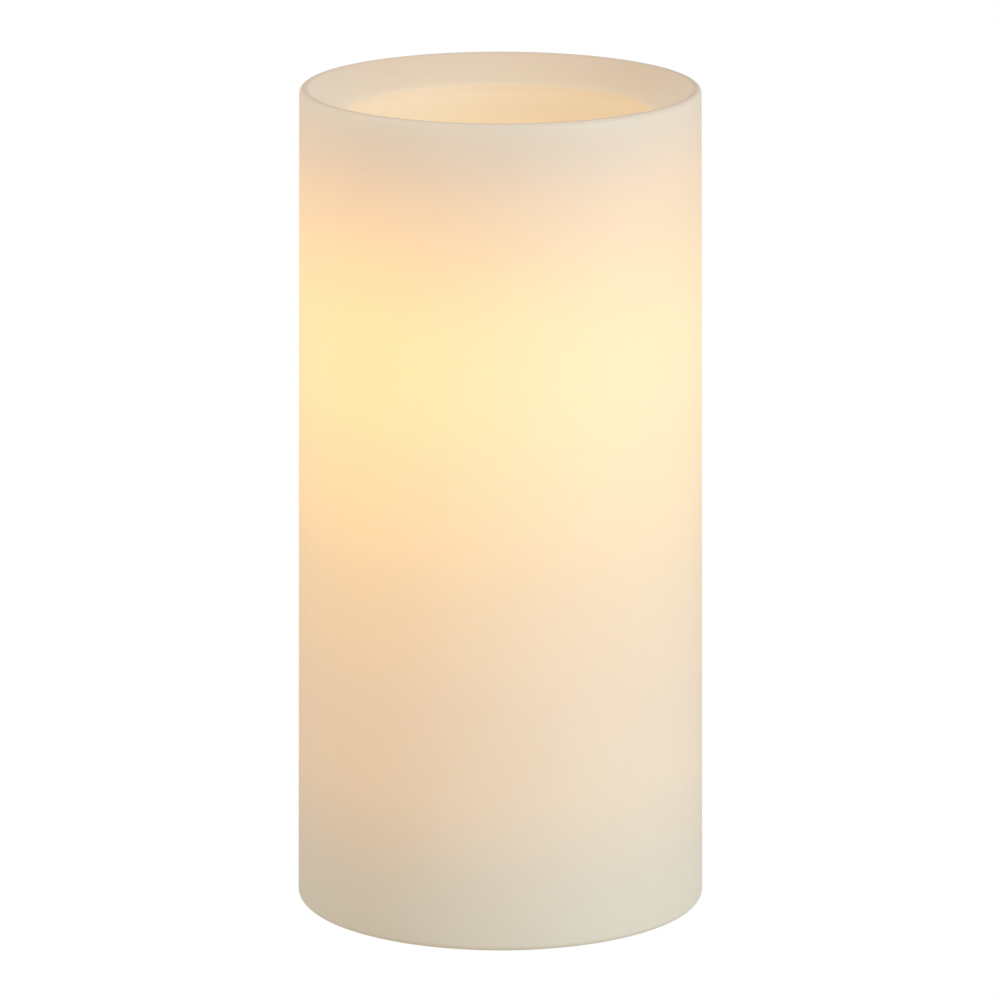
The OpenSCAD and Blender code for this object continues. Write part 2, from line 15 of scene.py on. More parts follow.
import bmesh
import bpy
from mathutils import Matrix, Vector


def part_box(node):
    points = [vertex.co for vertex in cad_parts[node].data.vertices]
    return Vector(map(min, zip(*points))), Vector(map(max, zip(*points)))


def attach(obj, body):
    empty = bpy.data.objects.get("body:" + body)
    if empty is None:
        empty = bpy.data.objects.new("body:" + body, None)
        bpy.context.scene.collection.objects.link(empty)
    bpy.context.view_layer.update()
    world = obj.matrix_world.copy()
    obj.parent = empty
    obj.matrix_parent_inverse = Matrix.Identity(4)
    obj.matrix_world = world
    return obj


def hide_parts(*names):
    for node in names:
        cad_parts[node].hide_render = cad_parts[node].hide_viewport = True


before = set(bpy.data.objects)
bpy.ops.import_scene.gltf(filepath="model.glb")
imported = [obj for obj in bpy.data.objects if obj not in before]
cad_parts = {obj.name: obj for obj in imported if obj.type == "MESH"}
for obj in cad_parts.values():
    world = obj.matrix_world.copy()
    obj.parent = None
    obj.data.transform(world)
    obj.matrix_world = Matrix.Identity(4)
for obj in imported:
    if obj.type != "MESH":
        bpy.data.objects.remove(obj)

LOG = logging.getLogger("candle")
MM = 0.001

Colour = tuple[float, float, float]
Point = tuple[float, float, float]
Pair = tuple[float, float]
Zone = tuple[float, float]
Number = Union[float, "Value"]

WHITE: Colour = (1.0, 1.0, 1.0)

# Points nearer to each other than this are one point, in a new mesh and in a copied one.
JOIN_NEW = 0.002 * MM
JOIN_COPIED = 0.003 * MM

# Angles in degrees: triangles this flat become one face, edges this steep are rounded,
# and steeper ones than these stay sharp, in a new mesh and in a rounded copy.
FLAT_ANGLE = 1.5
ROUNDED_ANGLE = 50.0
SHARP_ANGLE = 38.0
SHARP_COPIED_ANGLE = 30.0


class Body(Enum):
    """The bodies that pieces ride on."""

    CANDLE = "candle"
    DOOR = "battery_door"
    TONGUE = "latch_tongue"
    BUTTON = "switch_button"


# ---------------------------------------------------------------- node trees


class Value:
    """A node socket that takes part in Python expressions."""

    def __init__(self, graph: "Graph", socket: bpy.types.NodeSocket) -> None:
        """Wraps a socket.

        Args:
            graph: the tree that the socket is in.
            socket: the output that carries the number.
        """
        self.graph = graph
        self.socket = socket

    def _math(self, operation: str, first: Number, second: Number) -> "Value":
        """Adds one Math node and returns its result."""
        return self.graph.node(
            "ShaderNodeMath", {"operation": operation}, {0: first, 1: second}
        )

    def __add__(self, other: Number) -> "Value":
        """self + other."""
        return self._math("ADD", self, other)

    def __radd__(self, other: Number) -> "Value":
        """other + self."""
        return self._math("ADD", other, self)

    def __sub__(self, other: Number) -> "Value":
        """self - other."""
        return self._math("SUBTRACT", self, other)

    def __rsub__(self, other: Number) -> "Value":
        """other - self."""
        return self._math("SUBTRACT", other, self)

    def __mul__(self, other: Number) -> "Value":
        """self * other."""
        return self._math("MULTIPLY", self, other)

    def __rmul__(self, other: Number) -> "Value":
        """other * self."""
        return self._math("MULTIPLY", other, self)

    def __truediv__(self, other: Number) -> "Value":
        """self / other."""
        return self._math("DIVIDE", self, other)

    def __rtruediv__(self, other: Number) -> "Value":
        """other / self."""
        return self._math("DIVIDE", other, self)

    def __pow__(self, other: Number) -> "Value":
        """self to the power of other."""
        return self._math("POWER", self, other)

    def floor(self) -> "Value":
        """The whole part of the value."""
        return self._math("FLOOR", self, 0.0)

    def modulo(self, other: Number) -> "Value":
        """The remainder of the value over other."""
        return self._math("MODULO", self, other)

    def cos(self) -> "Value":
        """The cosine of the value, in radians."""
        return self._math("COSINE", self, 0.0)

    def sin(self) -> "Value":
        """The sine of the value, in radians."""
        return self._math("SINE", self, 0.0)

    def step(self, low: float, high: float) -> "Value":
        """A smooth step that is 0 at low and 1 at high, whichever is larger."""
        return self.graph.node(
            "ShaderNodeMapRange",
            {"interpolation_type": "SMOOTHSTEP", "clamp": True},
            {0: self, 1: low, 2: high, 3: 0.0, 4: 1.0},
        )

    def between(self, rise: Zone, fall: Zone) -> "Value":
        """1 from the end of the rise to the start of the fall, and 0 outside them."""
        return self.step(*rise) * (1 - self.step(*fall))


class Graph:
    """A node tree with one method that adds a node."""

    def __init__(self, tree: bpy.types.NodeTree) -> None:
        """Wraps a tree.

        Args:
            tree: the shader or geometry tree to add nodes to.
        """
        self.tree = tree

    def clear(self) -> None:
        """Takes every node out of the tree."""
        self.tree.nodes.clear()

    def raw(
        self, kind: str, settings: Optional[dict] = None, inputs: Optional[dict] = None
    ) -> bpy.types.Node:
        """Adds a node.

        Args:
            kind: the node's type name.
            settings: the node's properties, set before its sockets; "stops" fills a ramp.
            inputs: values or links of its sockets, by name or place.

        Returns:
            The new node.
        """
        node = self.tree.nodes.new(kind)
        for name, value in (settings or {}).items():
            if name == "stops":
                self._fill_ramp(node.color_ramp, value)
            else:
                setattr(node, name, value)
        for key, value in (inputs or {}).items():
            socket = node.inputs[key]
            if isinstance(value, Value):
                self.tree.links.new(value.socket, socket)
            elif socket.type == "RGBA" and len(value) == 3:
                socket.default_value = (*value, 1.0)
            else:
                socket.default_value = value
        return node

    def node(
        self,
        kind: str,
        settings: Optional[dict] = None,
        inputs: Optional[dict] = None,
        output: Union[int, str] = 0,
    ) -> Value:
        """Adds a node and returns one of its outputs as a Value."""
        return Value(self, self.raw(kind, settings, inputs).outputs[output])

    @staticmethod
    def _fill_ramp(ramp: bpy.types.ColorRamp, stops: Sequence[tuple[float, Colour]]) -> None:
        """Sets a colour ramp's stops.

        Args:
            ramp: the ramp to fill.
            stops: each stop's place, 0 to 1, and its colour.
        """
        ramp.interpolation = "CARDINAL"
        while len(ramp.elements) > 1:
            ramp.elements.remove(ramp.elements[-1])
        for i, (place, colour) in enumerate(stops):
            element = ramp.elements[0] if i == 0 else ramp.elements.new(place)
            element.position = place
            element.color = (*colour, 1.0)

    def vector(self, operation: str, *values: Union[Value, Sequence[float]]) -> Value:
        """Adds a Vector Math node on the given values."""
        place = 1 if operation in ("DOT_PRODUCT", "LENGTH", "DISTANCE") else 0
        return self.node(
            "ShaderNodeVectorMath", {"operation": operation}, dict(enumerate(values)), place
        )

    def split(self, vector: Value) -> tuple[Value, Value, Value]:
        """The X, Y and Z of a vector."""
        node = self.raw("ShaderNodeSeparateXYZ", None, {0: vector})
        return tuple(Value(self, out) for out in node.outputs)

    def join(self, x: Number, y: Number, z: Number) -> Value:
        """A vector from its X, Y and Z."""
        return self.node("ShaderNodeCombineXYZ", None, {0: x, 1: y, 2: z})

    def mix(
        self, factor: Number, a: Union[Value, Colour], b: Union[Value, Colour], blend: str = "MIX"
    ) -> Value:
        """Mixes two colours.

        Args:
            factor: how much of b shows.
            a: the colour at factor 0.
            b: the colour at factor 1.
            blend: the Mix node's blend type.

        Returns:
            The mixed colour.
        """
        settings = {"data_type": "RGBA", "blend_type": blend, "clamp_factor": True}
        return self.node("ShaderNodeMix", settings, {0: factor, 6: a, 7: b}, 2)

    def noise(self, where: Value, scale: float, detail: float) -> Value:
        """A noise pattern, 0 to 1; scale is in waves to the metre."""
        inputs = {"Vector": where, "Scale": scale, "Detail": detail}
        return self.node("ShaderNodeTexNoise", None, inputs)


class ShapeTree(Graph):
    """A Geometry Nodes tree with named inputs."""

    def __init__(self, name: str, sizes: dict[str, float]) -> None:
        """Starts the tree and gives it its inputs.

        Args:
            name: the tree's name.
            sizes: each named input with its value in metres, or as a whole number.
        """
        super().__init__(bpy.data.node_groups.new(name, "GeometryNodeTree"))
        self.sizes = sizes
        face = self.tree.interface
        for label, value in sizes.items():
            kind = "NodeSocketInt" if isinstance(value, int) else "NodeSocketFloat"
            face.new_socket(label, in_out="INPUT", socket_type=kind)
        face.new_socket("Material", in_out="INPUT", socket_type="NodeSocketMaterial")
        face.new_socket("Geometry", in_out="OUTPUT", socket_type="NodeSocketGeometry")
        self.group_in = self.tree.nodes.new("NodeGroupInput")
        self.group_out = self.tree.nodes.new("NodeGroupOutput")

    def size(self, label: str) -> Value:
        """A named input of the tree."""
        return Value(self, self.group_in.outputs[label])

    def transform(
        self, geometry: Value, place: Sequence[float], turn: Sequence[float] = (0, 0, 0)
    ) -> Value:
        """Moves and turns a geometry."""
        return self.node(
            "GeometryNodeTransform", None,
            {"Geometry": geometry, "Translation": place, "Rotation": turn},
        )

    def circle(self, radius: Number, sides: Union[int, Value]) -> Value:
        """A circle in the X-Y plane."""
        return self.node(
            "GeometryNodeCurvePrimitiveCircle", {"mode": "RADIUS"},
            {"Resolution": sides, "Radius": radius},
        )

    def tube(self, curve: Value, radius: Number, sides: int) -> Value:
        """A round tube with closed ends along a curve."""
        return self.node(
            "GeometryNodeCurveToMesh", None,
            {"Curve": curve, "Profile Curve": self.circle(radius, sides), "Fill Caps": True},
        )

    def copies(self, points: Value, shape: Value) -> Value:
        """A copy of a shape on each point."""
        inputs = {"Points": points, "Instance": shape}
        return self.node("GeometryNodeInstanceOnPoints", None, inputs)

    def joined(self, parts: Sequence[Value]) -> Value:
        """Several geometries as one.

        Args:
            parts: the geometries.

        Returns:
            All of them together.
        """
        node = self.raw("GeometryNodeJoinGeometry")
        for part in parts:
            self.tree.links.new(part.socket, node.inputs[0])
        return Value(self, node.outputs[0])

    def make(self, name: str, geometry: Value, material: bpy.types.Material) -> bpy.types.Object:
        """Ends the tree, runs it once and returns the result as a plain mesh object.

        Args:
            name: the piece's name.
            geometry: what the tree gives out.
            material: the finish that Set Material puts on it.

        Returns:
            The finished piece, with its place in its mesh and its faces outwards.
        """
        solid = self.node("GeometryNodeRealizeInstances", None, {"Geometry": geometry})
        merged = self.node(
            "GeometryNodeMergeByDistance", None, {"Geometry": solid, "Distance": JOIN_NEW}
        )
        done = self.node(
            "GeometryNodeSetMaterial", None, {"Geometry": merged, "Material": self.size("Material")}
        )
        self.tree.links.new(done.socket, self.group_out.inputs[0])
        host = add_object(name + "_host", bpy.data.meshes.new(name + "_host"))
        modifier = host.modifiers.new("Shape", "NODES")
        modifier.node_group = self.tree
        values = {**self.sizes, "Material": material}
        for item in self.tree.interface.items_tree:
            if item.in_out == "INPUT":
                modifier[item.identifier] = values[item.name]
        host.update_tag()
        mesh = plain_mesh(host, modifier)
        bpy.data.objects.remove(host)
        mesh.name = name
        face_out(mesh)
        if not mesh.materials:
            mesh.materials.append(material)
        return add_object(name, mesh)


# ---------------------------------------------------------------- mesh helpers


def add_object(name: str, mesh: bpy.types.Mesh) -> bpy.types.Object:
    """Puts a mesh into the scene as an object at the origin.

    Args:
        name: the object's name.
        mesh: its mesh.

    Returns:
        The new object.
    """
    piece = bpy.data.objects.new(name, mesh)
    bpy.context.scene.collection.objects.link(piece)
    return piece


def plain_mesh(piece: bpy.types.Object, modifier: bpy.types.Modifier) -> bpy.types.Mesh:
    """Runs a piece's only modifier once and takes it off.

    Args:
        piece: the object that has the modifier.
        modifier: the modifier.

    Returns:
        What the modifier makes, as a new mesh.
    """
    bpy.context.view_layer.update()
    evaluated = piece.evaluated_get(bpy.context.evaluated_depsgraph_get())
    mesh = bpy.data.meshes.new_from_object(evaluated)
    piece.modifiers.remove(modifier)
    return mesh


def face_out(mesh: bpy.types.Mesh) -> None:
    """Turns a closed mesh's faces outwards and shades it smooth between its sharp edges.

    Args:
        mesh: the mesh to finish, changed in place.
    """
    bm = bmesh.new()
    bm.from_mesh(mesh)
    bmesh.ops.recalc_face_normals(bm, faces=bm.faces)
    bm.to_mesh(mesh)
    bm.free()
    mesh.shade_smooth()
    mesh.set_sharp_from_angle(angle=math.radians(SHARP_ANGLE))


def softened_copy(node: str, name: str, edge: float) -> bpy.types.Object:
    """Copies a model node, joins its loose triangles and rounds its edges a little.

    Args:
        node: the node to copy.
        name: the new piece's name.
        edge: width of the rounded edge.

    Returns:
        The copy as a finished piece that stands for the node.
    """
    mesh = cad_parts[node].data.copy()
    mesh.name = name
    bm = bmesh.new()
    bm.from_mesh(mesh)
    bmesh.ops.remove_doubles(bm, verts=bm.verts, dist=JOIN_COPIED)
    bmesh.ops.dissolve_limit(
        bm, angle_limit=math.radians(FLAT_ANGLE), verts=bm.verts, edges=bm.edges
    )
    bm.to_mesh(mesh)
    bm.free()
    piece = add_object(name, mesh)
    bevel = piece.modifiers.new("Rounded edges", "BEVEL")
    bevel.width = edge
    bevel.segments = 2
    bevel.limit_method = "ANGLE"
    bevel.angle_limit = math.radians(ROUNDED_ANGLE)
    bevel.use_clamp_overlap = True
    rounded = plain_mesh(piece, bevel)
    piece.data = rounded
    rounded.name = name
    rounded.shade_smooth()
    rounded.set_sharp_from_angle(angle=math.radians(SHARP_COPIED_ANGLE))
    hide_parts(node)
    return piece


def dress(piece: bpy.types.Object, material: bpy.types.Material) -> None:
    """Gives a piece or a model node one finish through its material slots.

    Args:
        piece: the object to dress.
        material: its finish.
    """
    if piece.material_slots:
        for slot in piece.material_slots:
            slot.material = material
    else:
        piece.data.materials.append(material)


def settle(piece: bpy.types.Object, body: Body, material: bpy.types.Material) -> None:
    """Dresses a finished piece, lets it ride on its body and logs it.

    Args:
        piece: the finished piece.
        body: the body that carries it.
        material: its finish.
    """
    dress(piece, material)
    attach(piece, body.value)
    LOG.info("%s rides on %s", piece.name, body.value)


def keep(node: str, material: bpy.types.Material) -> None:
    """Gives a model node that keeps its shape its finish and logs it."""
    dress(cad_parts[node], material)
    LOG.info("%s keeps its shape, in %s", node, material.name)


# ---------------------------------------------------------------- turned and bent shapes


@dataclass(frozen=True)
class Corner:
    """One corner of a turned outline, from the axis outwards.

    Args:
        label: the corner's plain name.
        radius: distance from the axis.
        height: place along the axis.
        round: radius of the rounded corner, 0 for a sharp one.
    """

    label: str
    radius: float
    height: float
    round: float = 0.0


class CurveTree(ShapeTree):
    """A shape tree that can draw a line through corner points."""

    def rounded_line(self, points: Sequence[Value], rounds: Sequence[Number], steps: int) -> Value:
        """A line of straight runs with rounded corners.

        Args:
            points: the corners, as vectors.
            rounds: the rounding radius of each corner.
            steps: points in each rounded corner.

        Returns:
            The line as a curve.
        """
        line = self.node("GeometryNodeMeshLine", {"mode": "OFFSET"}, {"Count": len(points)})
        index = self.node("GeometryNodeInputIndex")
        moved = self.node(
            "GeometryNodeSetPosition", None,
            {"Geometry": line, "Position": self.choose("VECTOR", index, points)},
        )
        curve = self.node("GeometryNodeMeshToCurve", None, {0: moved})
        return self.node(
            "GeometryNodeFilletCurve", {"mode": "POLY"},
            {"Curve": curve, "Radius": self.choose("FLOAT", index, rounds), "Count": steps,
             "Limit Radius": True},
        )

    def choose(self, kind: str, index: Value, items: Sequence) -> Value:
        """Picks one of several values by index.

        Args:
            kind: the values' data type.
            index: which value to take.
            items: the values.

        Returns:
            The chosen value.
        """
        node = self.raw("GeometryNodeIndexSwitch", {"data_type": kind})
        while len(node.index_switch_items) < len(items):
            node.index_switch_items.new()
        self.tree.links.new(index.socket, node.inputs[0])
        for place, item in enumerate(items, start=1):
            if isinstance(item, Value):
                self.tree.links.new(item.socket, node.inputs[place])
            else:
                node.inputs[place].default_value = item
        return Value(self, node.outputs[0])


class TurnedTree(CurveTree):
    """A solid of revolution about Z, drawn as an outline with rounded corners."""

    def __init__(
        self, name: str, corners: Sequence[Corner], sides: int, longest: float, steps: int,
        extra: Optional[dict[str, float]] = None,
    ) -> None:
        """Starts the tree.

        Args:
            name: the tree's name.
            corners: the outline, from one point on the axis to the other.
            sides: faces around the axis.
            longest: longest straight step along the outline.
            steps: points in each rounded corner.
            extra: more named sizes.
        """
        sizes: dict[str, float] = {"Sides": sides, "Longest step": longest, **(extra or {})}
        for c in corners:
            sizes[f"{c.label} radius"] = c.radius
            sizes[f"{c.label} height"] = c.height
            sizes[f"{c.label} round"] = c.round
        super().__init__(name, sizes)
        self.corners = corners
        self.steps = steps

    def outline(self) -> Value:
        """The outline in the X-Z plane, with its long runs cut into short steps.

        Returns:
            The outline as a curve.
        """
        points = [
            self.join(self.size(f"{c.label} radius"), 0.0, self.size(f"{c.label} height"))
            for c in self.corners
        ]
        rounds = [self.size(f"{c.label} round") for c in self.corners]
        line = self.rounded_line(points, rounds, self.steps)
        here = self.node("GeometryNodeInputPosition")
        index = self.node("GeometryNodeInputIndex")
        ahead = self.node(
            "GeometryNodeFieldAtIndex", {"data_type": "FLOAT_VECTOR", "domain": "POINT"},
            {"Value": here, "Index": index + 1.0},
        )
        run = self.vector("DISTANCE", ahead, here)
        return self.node(
            "GeometryNodeSubdivideCurve", None,
            {"Curve": line, "Cuts": (run / self.size("Longest step")).floor()},
        )

    def turned(self, shape: Optional[Callable[[Value, Value, Value], Value]] = None) -> Value:
        """Turns the outline about Z.

        Args:
            shape: gives the radius from the plain radius, the angle and the height.

        Returns:
            The closed mesh.
        """
        line = self.outline()
        count = self.node("GeometryNodeAttributeDomainSize", {"component": "CURVE"}, {0: line})
        columns = self.size("Sides") + 1.0
        grid = self.node(
            "GeometryNodeMeshGrid", None, {"Vertices X": count, "Vertices Y": columns}
        )
        index = self.node("GeometryNodeInputIndex")
        row = ((index + 0.5) / columns).floor()
        angle = (index - row * columns) * (2 * math.pi) / self.size("Sides")
        here = self.node("GeometryNodeInputPosition")
        sample = self.node(
            "GeometryNodeSampleIndex", {"data_type": "FLOAT_VECTOR", "domain": "POINT"},
            {"Geometry": line, "Value": here, "Index": row},
        )
        radius, _, height = self.split(sample)
        if shape:
            radius = shape(radius, angle, height)
        place = self.join(radius * angle.cos(), radius * angle.sin(), height)
        return self.node("GeometryNodeSetPosition", None, {"Geometry": grid, "Position": place})


# ---------------------------------------------------------------- finishes


class Paint(Graph):
    """The tree of a new material around one Principled shader."""

    def __init__(self, name: str, **uniform: Union[float, Sequence[float]]) -> None:
        """Makes the material and sets the values that are the same all over.

        Args:
            name: the material's name.
            uniform: values of the shader's sockets, with _ for each space.
        """
        self.material = bpy.data.materials.new(name)
        self.material.use_nodes = True
        super().__init__(self.material.node_tree)
        self.clear()
        self.shader = self.raw("ShaderNodeBsdfPrincipled")
        output = self.raw("ShaderNodeOutputMaterial")
        self.tree.links.new(self.shader.outputs[0], output.inputs[0])
        for label, value in uniform.items():
            socket = self.shader.inputs[label.replace("_", " ")]
            rgb = socket.type == "RGBA" and len(value) == 3
            socket.default_value = (*value, 1.0) if rgb else value

    def place(self) -> Value:
        """The place on the piece, in metres in the model's frame."""
        return self.node("ShaderNodeTexCoord", None, None, "Object")

    def feed(self, label: str, value: Value) -> None:
        """Links a varying value to one of the shader's sockets."""
        self.tree.links.new(value.socket, self.shader.inputs[label])

    def mottle(
        self, pattern: Value, share: float, colour: Colour, other: Colour,
        label: str = "Base Color",
    ) -> None:
        """Feeds a colour socket with a colour that a pattern turns a little to another."""
        self.feed(label, self.mix(pattern * share, colour, other))

    def bump(self, height: Value, depth: float, strength: float) -> None:
        """Feeds Normal with a Bump node.

        Args:
            height: the surface's height pattern, 0 to 1.
            depth: its full depth in metres.
            strength: how strongly it shows.
        """
        inputs = {"Height": height, "Distance": depth, "Strength": strength}
        self.feed("Normal", self.node("ShaderNodeBump", None, inputs))


def shade_of(colour: Colour, share: float, lift: float = 0.0) -> Colour:
    """A darker shade of a colour, lifted towards grey."""
    return tuple(share * part + lift for part in colour)


@dataclass(frozen=True)
class WaxFinish:
    """Ivory wax with a painted glow where the hidden lamp shines through it, and painted shade on
    its crest and on the far side of its rim.

    Heights are shares of the pillar's height, and a zone runs from where a smooth step
    starts to where it ends.

    Args:
        height: height of the pillar.
        well_radius: radius of the well at its mouth.
        crest_radius: radius of the crest's highest ring.
        body: colour of the unlit wax.
        warm: colour of the wax round the lamp.
        rim: colour of the painted shade, darker and warmer, on the far side of the rim and the top
            of the well.
        edge: colour of the painted shade, a dark line along the crest.
        speck: colour of the faint clouds.
        glow: light through the outer wall, by height.
        well_glow: light through the rim and well, by height.
        lean: how fast the painted glow's red, green and blue fade towards +X, the key light's side,
            to the metre.
        lean_zone: zone along X where the leaning starts.
        lean_end: zone of height where the leaning ends.
        well_zone: zone of height where the well's own light starts.
        lamp_tint_start: zone of height where the painted lamp tint starts.
        lamp_tint_end: zone of height where it ends.
        rim_shade_zone: zone of height where the rim's painted shade starts.
        crest_shade_zone: zone of height where the crest's painted shade starts.
        far_side: zone along Y, in crest radii, where the rim's painted shade fades in towards the
            far side.
        crest_half: half the width of the crest.
        outer_half: zone of the crest's outer half, from its highest ring.
        outer_shade_loss: how much of the painted shade the crest's outer half loses.
        drift: how far the clouds move the glow up or down.
        clouding: how strongly the clouds show.
        cloud_base: share of the clouds' colour that is everywhere.
    """

    height: float
    well_radius: float
    crest_radius: float
    body: Colour = (0.80, 0.75, 0.62)
    warm: Colour = (0.80, 0.72, 0.57)
    rim: Colour = (0.74, 0.63, 0.48)
    edge: Colour = (0.63, 0.56, 0.46)
    speck: Colour = (0.72, 0.65, 0.50)
    glow: tuple[tuple[float, Colour], ...] = (
        (0.02, (0.03, 0.01, 0.00)),
        (0.11, (0.09, 0.03, 0.00)),
        (0.18, (0.17, 0.06, 0.00)),
        (0.33, (0.23, 0.09, 0.01)),
        (0.47, (0.33, 0.15, 0.01)),
        (0.61, (0.48, 0.23, 0.02)),
        (0.70, (0.52, 0.26, 0.02)),
        (0.77, (0.50, 0.23, 0.01)),
        (0.84, (0.37, 0.16, 0.00)),
        (0.92, (0.22, 0.07, 0.00)),
        (1.00, (0.06, 0.01, 0.00)),
    )
    well_glow: tuple[tuple[float, Colour], ...] = (
        (0.80, (0.40, 0.22, 0.09)),
        (0.86, (0.26, 0.14, 0.05)),
        (0.93, (0.12, 0.08, 0.03)),
        (0.972, (0.10, 0.05, 0.02)),
        (0.986, (0.06, 0.03, 0.01)),
        (1.00, (0.00, 0.00, 0.00)),
    )
    lean: Colour = (7.0, 6.5, 2.0)
    lean_zone: Zone = (-42 * MM, -20 * MM)
    lean_end: Zone = (0.82, 1.0)
    well_zone: Zone = (0.80, 0.84)
    lamp_tint_start: Zone = (0.05, 0.50)
    lamp_tint_end: Zone = (0.90, 1.05)
    rim_shade_zone: Zone = (0.955, 0.975)
    crest_shade_zone: Zone = (0.9935, 0.9975)
    far_side: Zone = (-0.2, 0.8)
    crest_half: float = 1.0 * MM
    outer_half: Zone = (0.1 * MM, 0.7 * MM)
    outer_shade_loss: float = 0.6
    drift: float = 0.025
    clouding: float = 0.35
    cloud_base: float = 0.1

    def make(self) -> bpy.types.Material:
        """Builds the material.

        Returns:
            The wax.
        """
        g = Paint(
            "ivory_wax", Roughness=0.5, Emission_Strength=1.0, Subsurface_Weight=0.2,
            Subsurface_Radius=(1.0, 0.55, 0.3), Subsurface_Scale=6 * MM, Specular_IOR_Level=0.35,
        )
        place = g.place()
        x, y, z = g.split(place)
        up = z / self.height
        crest = self.crest_radius
        radius = (x * x + y * y) ** 0.5
        cloud = g.noise(place, scale=45.0, detail=4.0) - 0.5

        # Painted light: the lamp's light through the outer wall and the well is painted on as
        # emission, by height.
        outer = g.node("ShaderNodeValToRGB", {"stops": self.glow}, {0: up + cloud * self.drift})
        inner = g.node("ShaderNodeValToRGB", {"stops": self.well_glow}, {0: up})
        inside = (1 - radius.step(self.well_radius, crest)) * up.step(*self.well_zone)
        # Painted light: the painted glow is weaker towards +X, the key light's side, below the
        # lean's end.
        across = x * (1 - up.step(*self.lean_end)) * x.step(*self.lean_zone)
        red, green, blue = (1 - across * slope for slope in self.lean)
        side = g.node("ShaderNodeCombineColor", None, {0: red, 1: green, 2: blue})
        g.feed("Emission Color", g.mix(1.0, g.mix(inside, outer, inner), side, "MULTIPLY"))

        # Painted shade: the rim and the top of the well are darker and warmer on their far side,
        # towards +Y.
        in_rim_shade = up.step(*self.rim_shade_zone) * (1 - radius.step(crest, crest + self.crest_half))
        far = y.step(*(share * crest for share in self.far_side))
        # Painted light: between these heights the base colour takes the lamp's tint.
        lamp = up.between(self.lamp_tint_start, self.lamp_tint_end)
        # plain is the wax's colour with its painted lamp tint and the rim's painted shade, before
        # the crest's.
        plain = g.mix(in_rim_shade * far, g.mix(lamp, self.body, self.warm), self.rim)
        # Painted shade: a dark line along the crest's rounded top, weaker on its outer half.
        inward = radius.step(crest - self.crest_half, crest)
        outward = radius.step(*(crest + reach for reach in self.outer_half))
        crest_line_shade = up.step(*self.crest_shade_zone) * inward * (1 - outward * self.outer_shade_loss)
        clouds = cloud * self.clouding + self.cloud_base
        g.feed("Base Color", g.mix(clouds, g.mix(crest_line_shade, plain, self.edge), self.speck))
        g.feed("Roughness", 0.44 + g.noise(place, scale=260.0, detail=5.0) * 0.16)
        g.bump(g.noise(place, scale=420.0, detail=5.0), depth=0.10 * MM, strength=0.35)
        return g.material


@dataclass(frozen=True)
class MouldedPlastic:
    """Injection-moulded plastic with a fine spark texture.

    Args:
        name: the material's name.
        colour: the plastic's colour.
        roughness: middle roughness.
        grain: depth of the texture in metres.
        glow: colour of the light that passes through it.
    """

    name: str
    colour: Colour
    roughness: float = 0.5
    grain: float = 0.02 * MM
    glow: Colour = (0.0, 0.0, 0.0)

    def make(self) -> bpy.types.Material:
        """Builds the material.

        Returns:
            The plastic.
        """
        g = Paint(
            self.name, Roughness=self.roughness, Specular_IOR_Level=0.45, Subsurface_Weight=0.05,
            Subsurface_Scale=1 * MM, Emission_Color=self.glow,
            Emission_Strength=1.0 if any(self.glow) else 0.0,
        )
        flow = g.noise(g.place(), scale=90.0, detail=3.0)
        g.mottle(flow, 0.5, self.colour, shade_of(self.colour, 0.86))
        g.feed("Roughness", self.roughness - 0.08 + flow * 0.16)
        g.bump(g.noise(g.place(), scale=3200.0, detail=4.0), self.grain, strength=0.5)
        return g.material


@dataclass(frozen=True)
class SheetMetal:
    """Plated or brushed metal.

    Args:
        name: the material's name.
        colour: the metal's colour.
        roughness: middle roughness.
        stretch: how far the brushing is drawn out along X, Y and Z.
    """

    name: str
    colour: Colour
    roughness: float
    stretch: Point = (1.0, 1.0, 1.0)

    def make(self) -> bpy.types.Material:
        """Builds the material.

        Returns:
            The metal.
        """
        g = Paint(self.name, Metallic=1.0, Roughness=self.roughness)
        place = g.node("ShaderNodeMapping", None, {"Vector": g.place(), "Scale": self.stretch})
        stain = g.noise(place, scale=300.0, detail=3.0)
        g.mottle(stain, 0.6, self.colour, shade_of(self.colour, 0.78))
        g.feed("Roughness", self.roughness - 0.07 + stain * 0.18)
        g.bump(g.noise(place, scale=2600.0, detail=3.0), depth=0.008 * MM, strength=0.6)
        return g.material


@dataclass(frozen=True)
class SoftRubber:
    """Matte rubber, hot glue or wire insulation.

    Args:
        name: the material's name.
        colour: its colour.
        roughness: middle roughness.
    """

    name: str
    colour: Colour
    roughness: float

    def make(self) -> bpy.types.Material:
        """Builds the material.

        Returns:
            The rubber.
        """
        g = Paint(self.name, Roughness=self.roughness, Specular_IOR_Level=0.35)
        dust = g.noise(g.place(), scale=500.0, detail=4.0)
        g.mottle(dust, 0.4, self.colour, shade_of(self.colour, 0.8, 0.06))
        g.feed("Roughness", self.roughness - 0.1 + dust * 0.2)
        g.bump(g.noise(g.place(), scale=1800.0, detail=3.0), depth=0.015 * MM, strength=0.4)
        return g.material


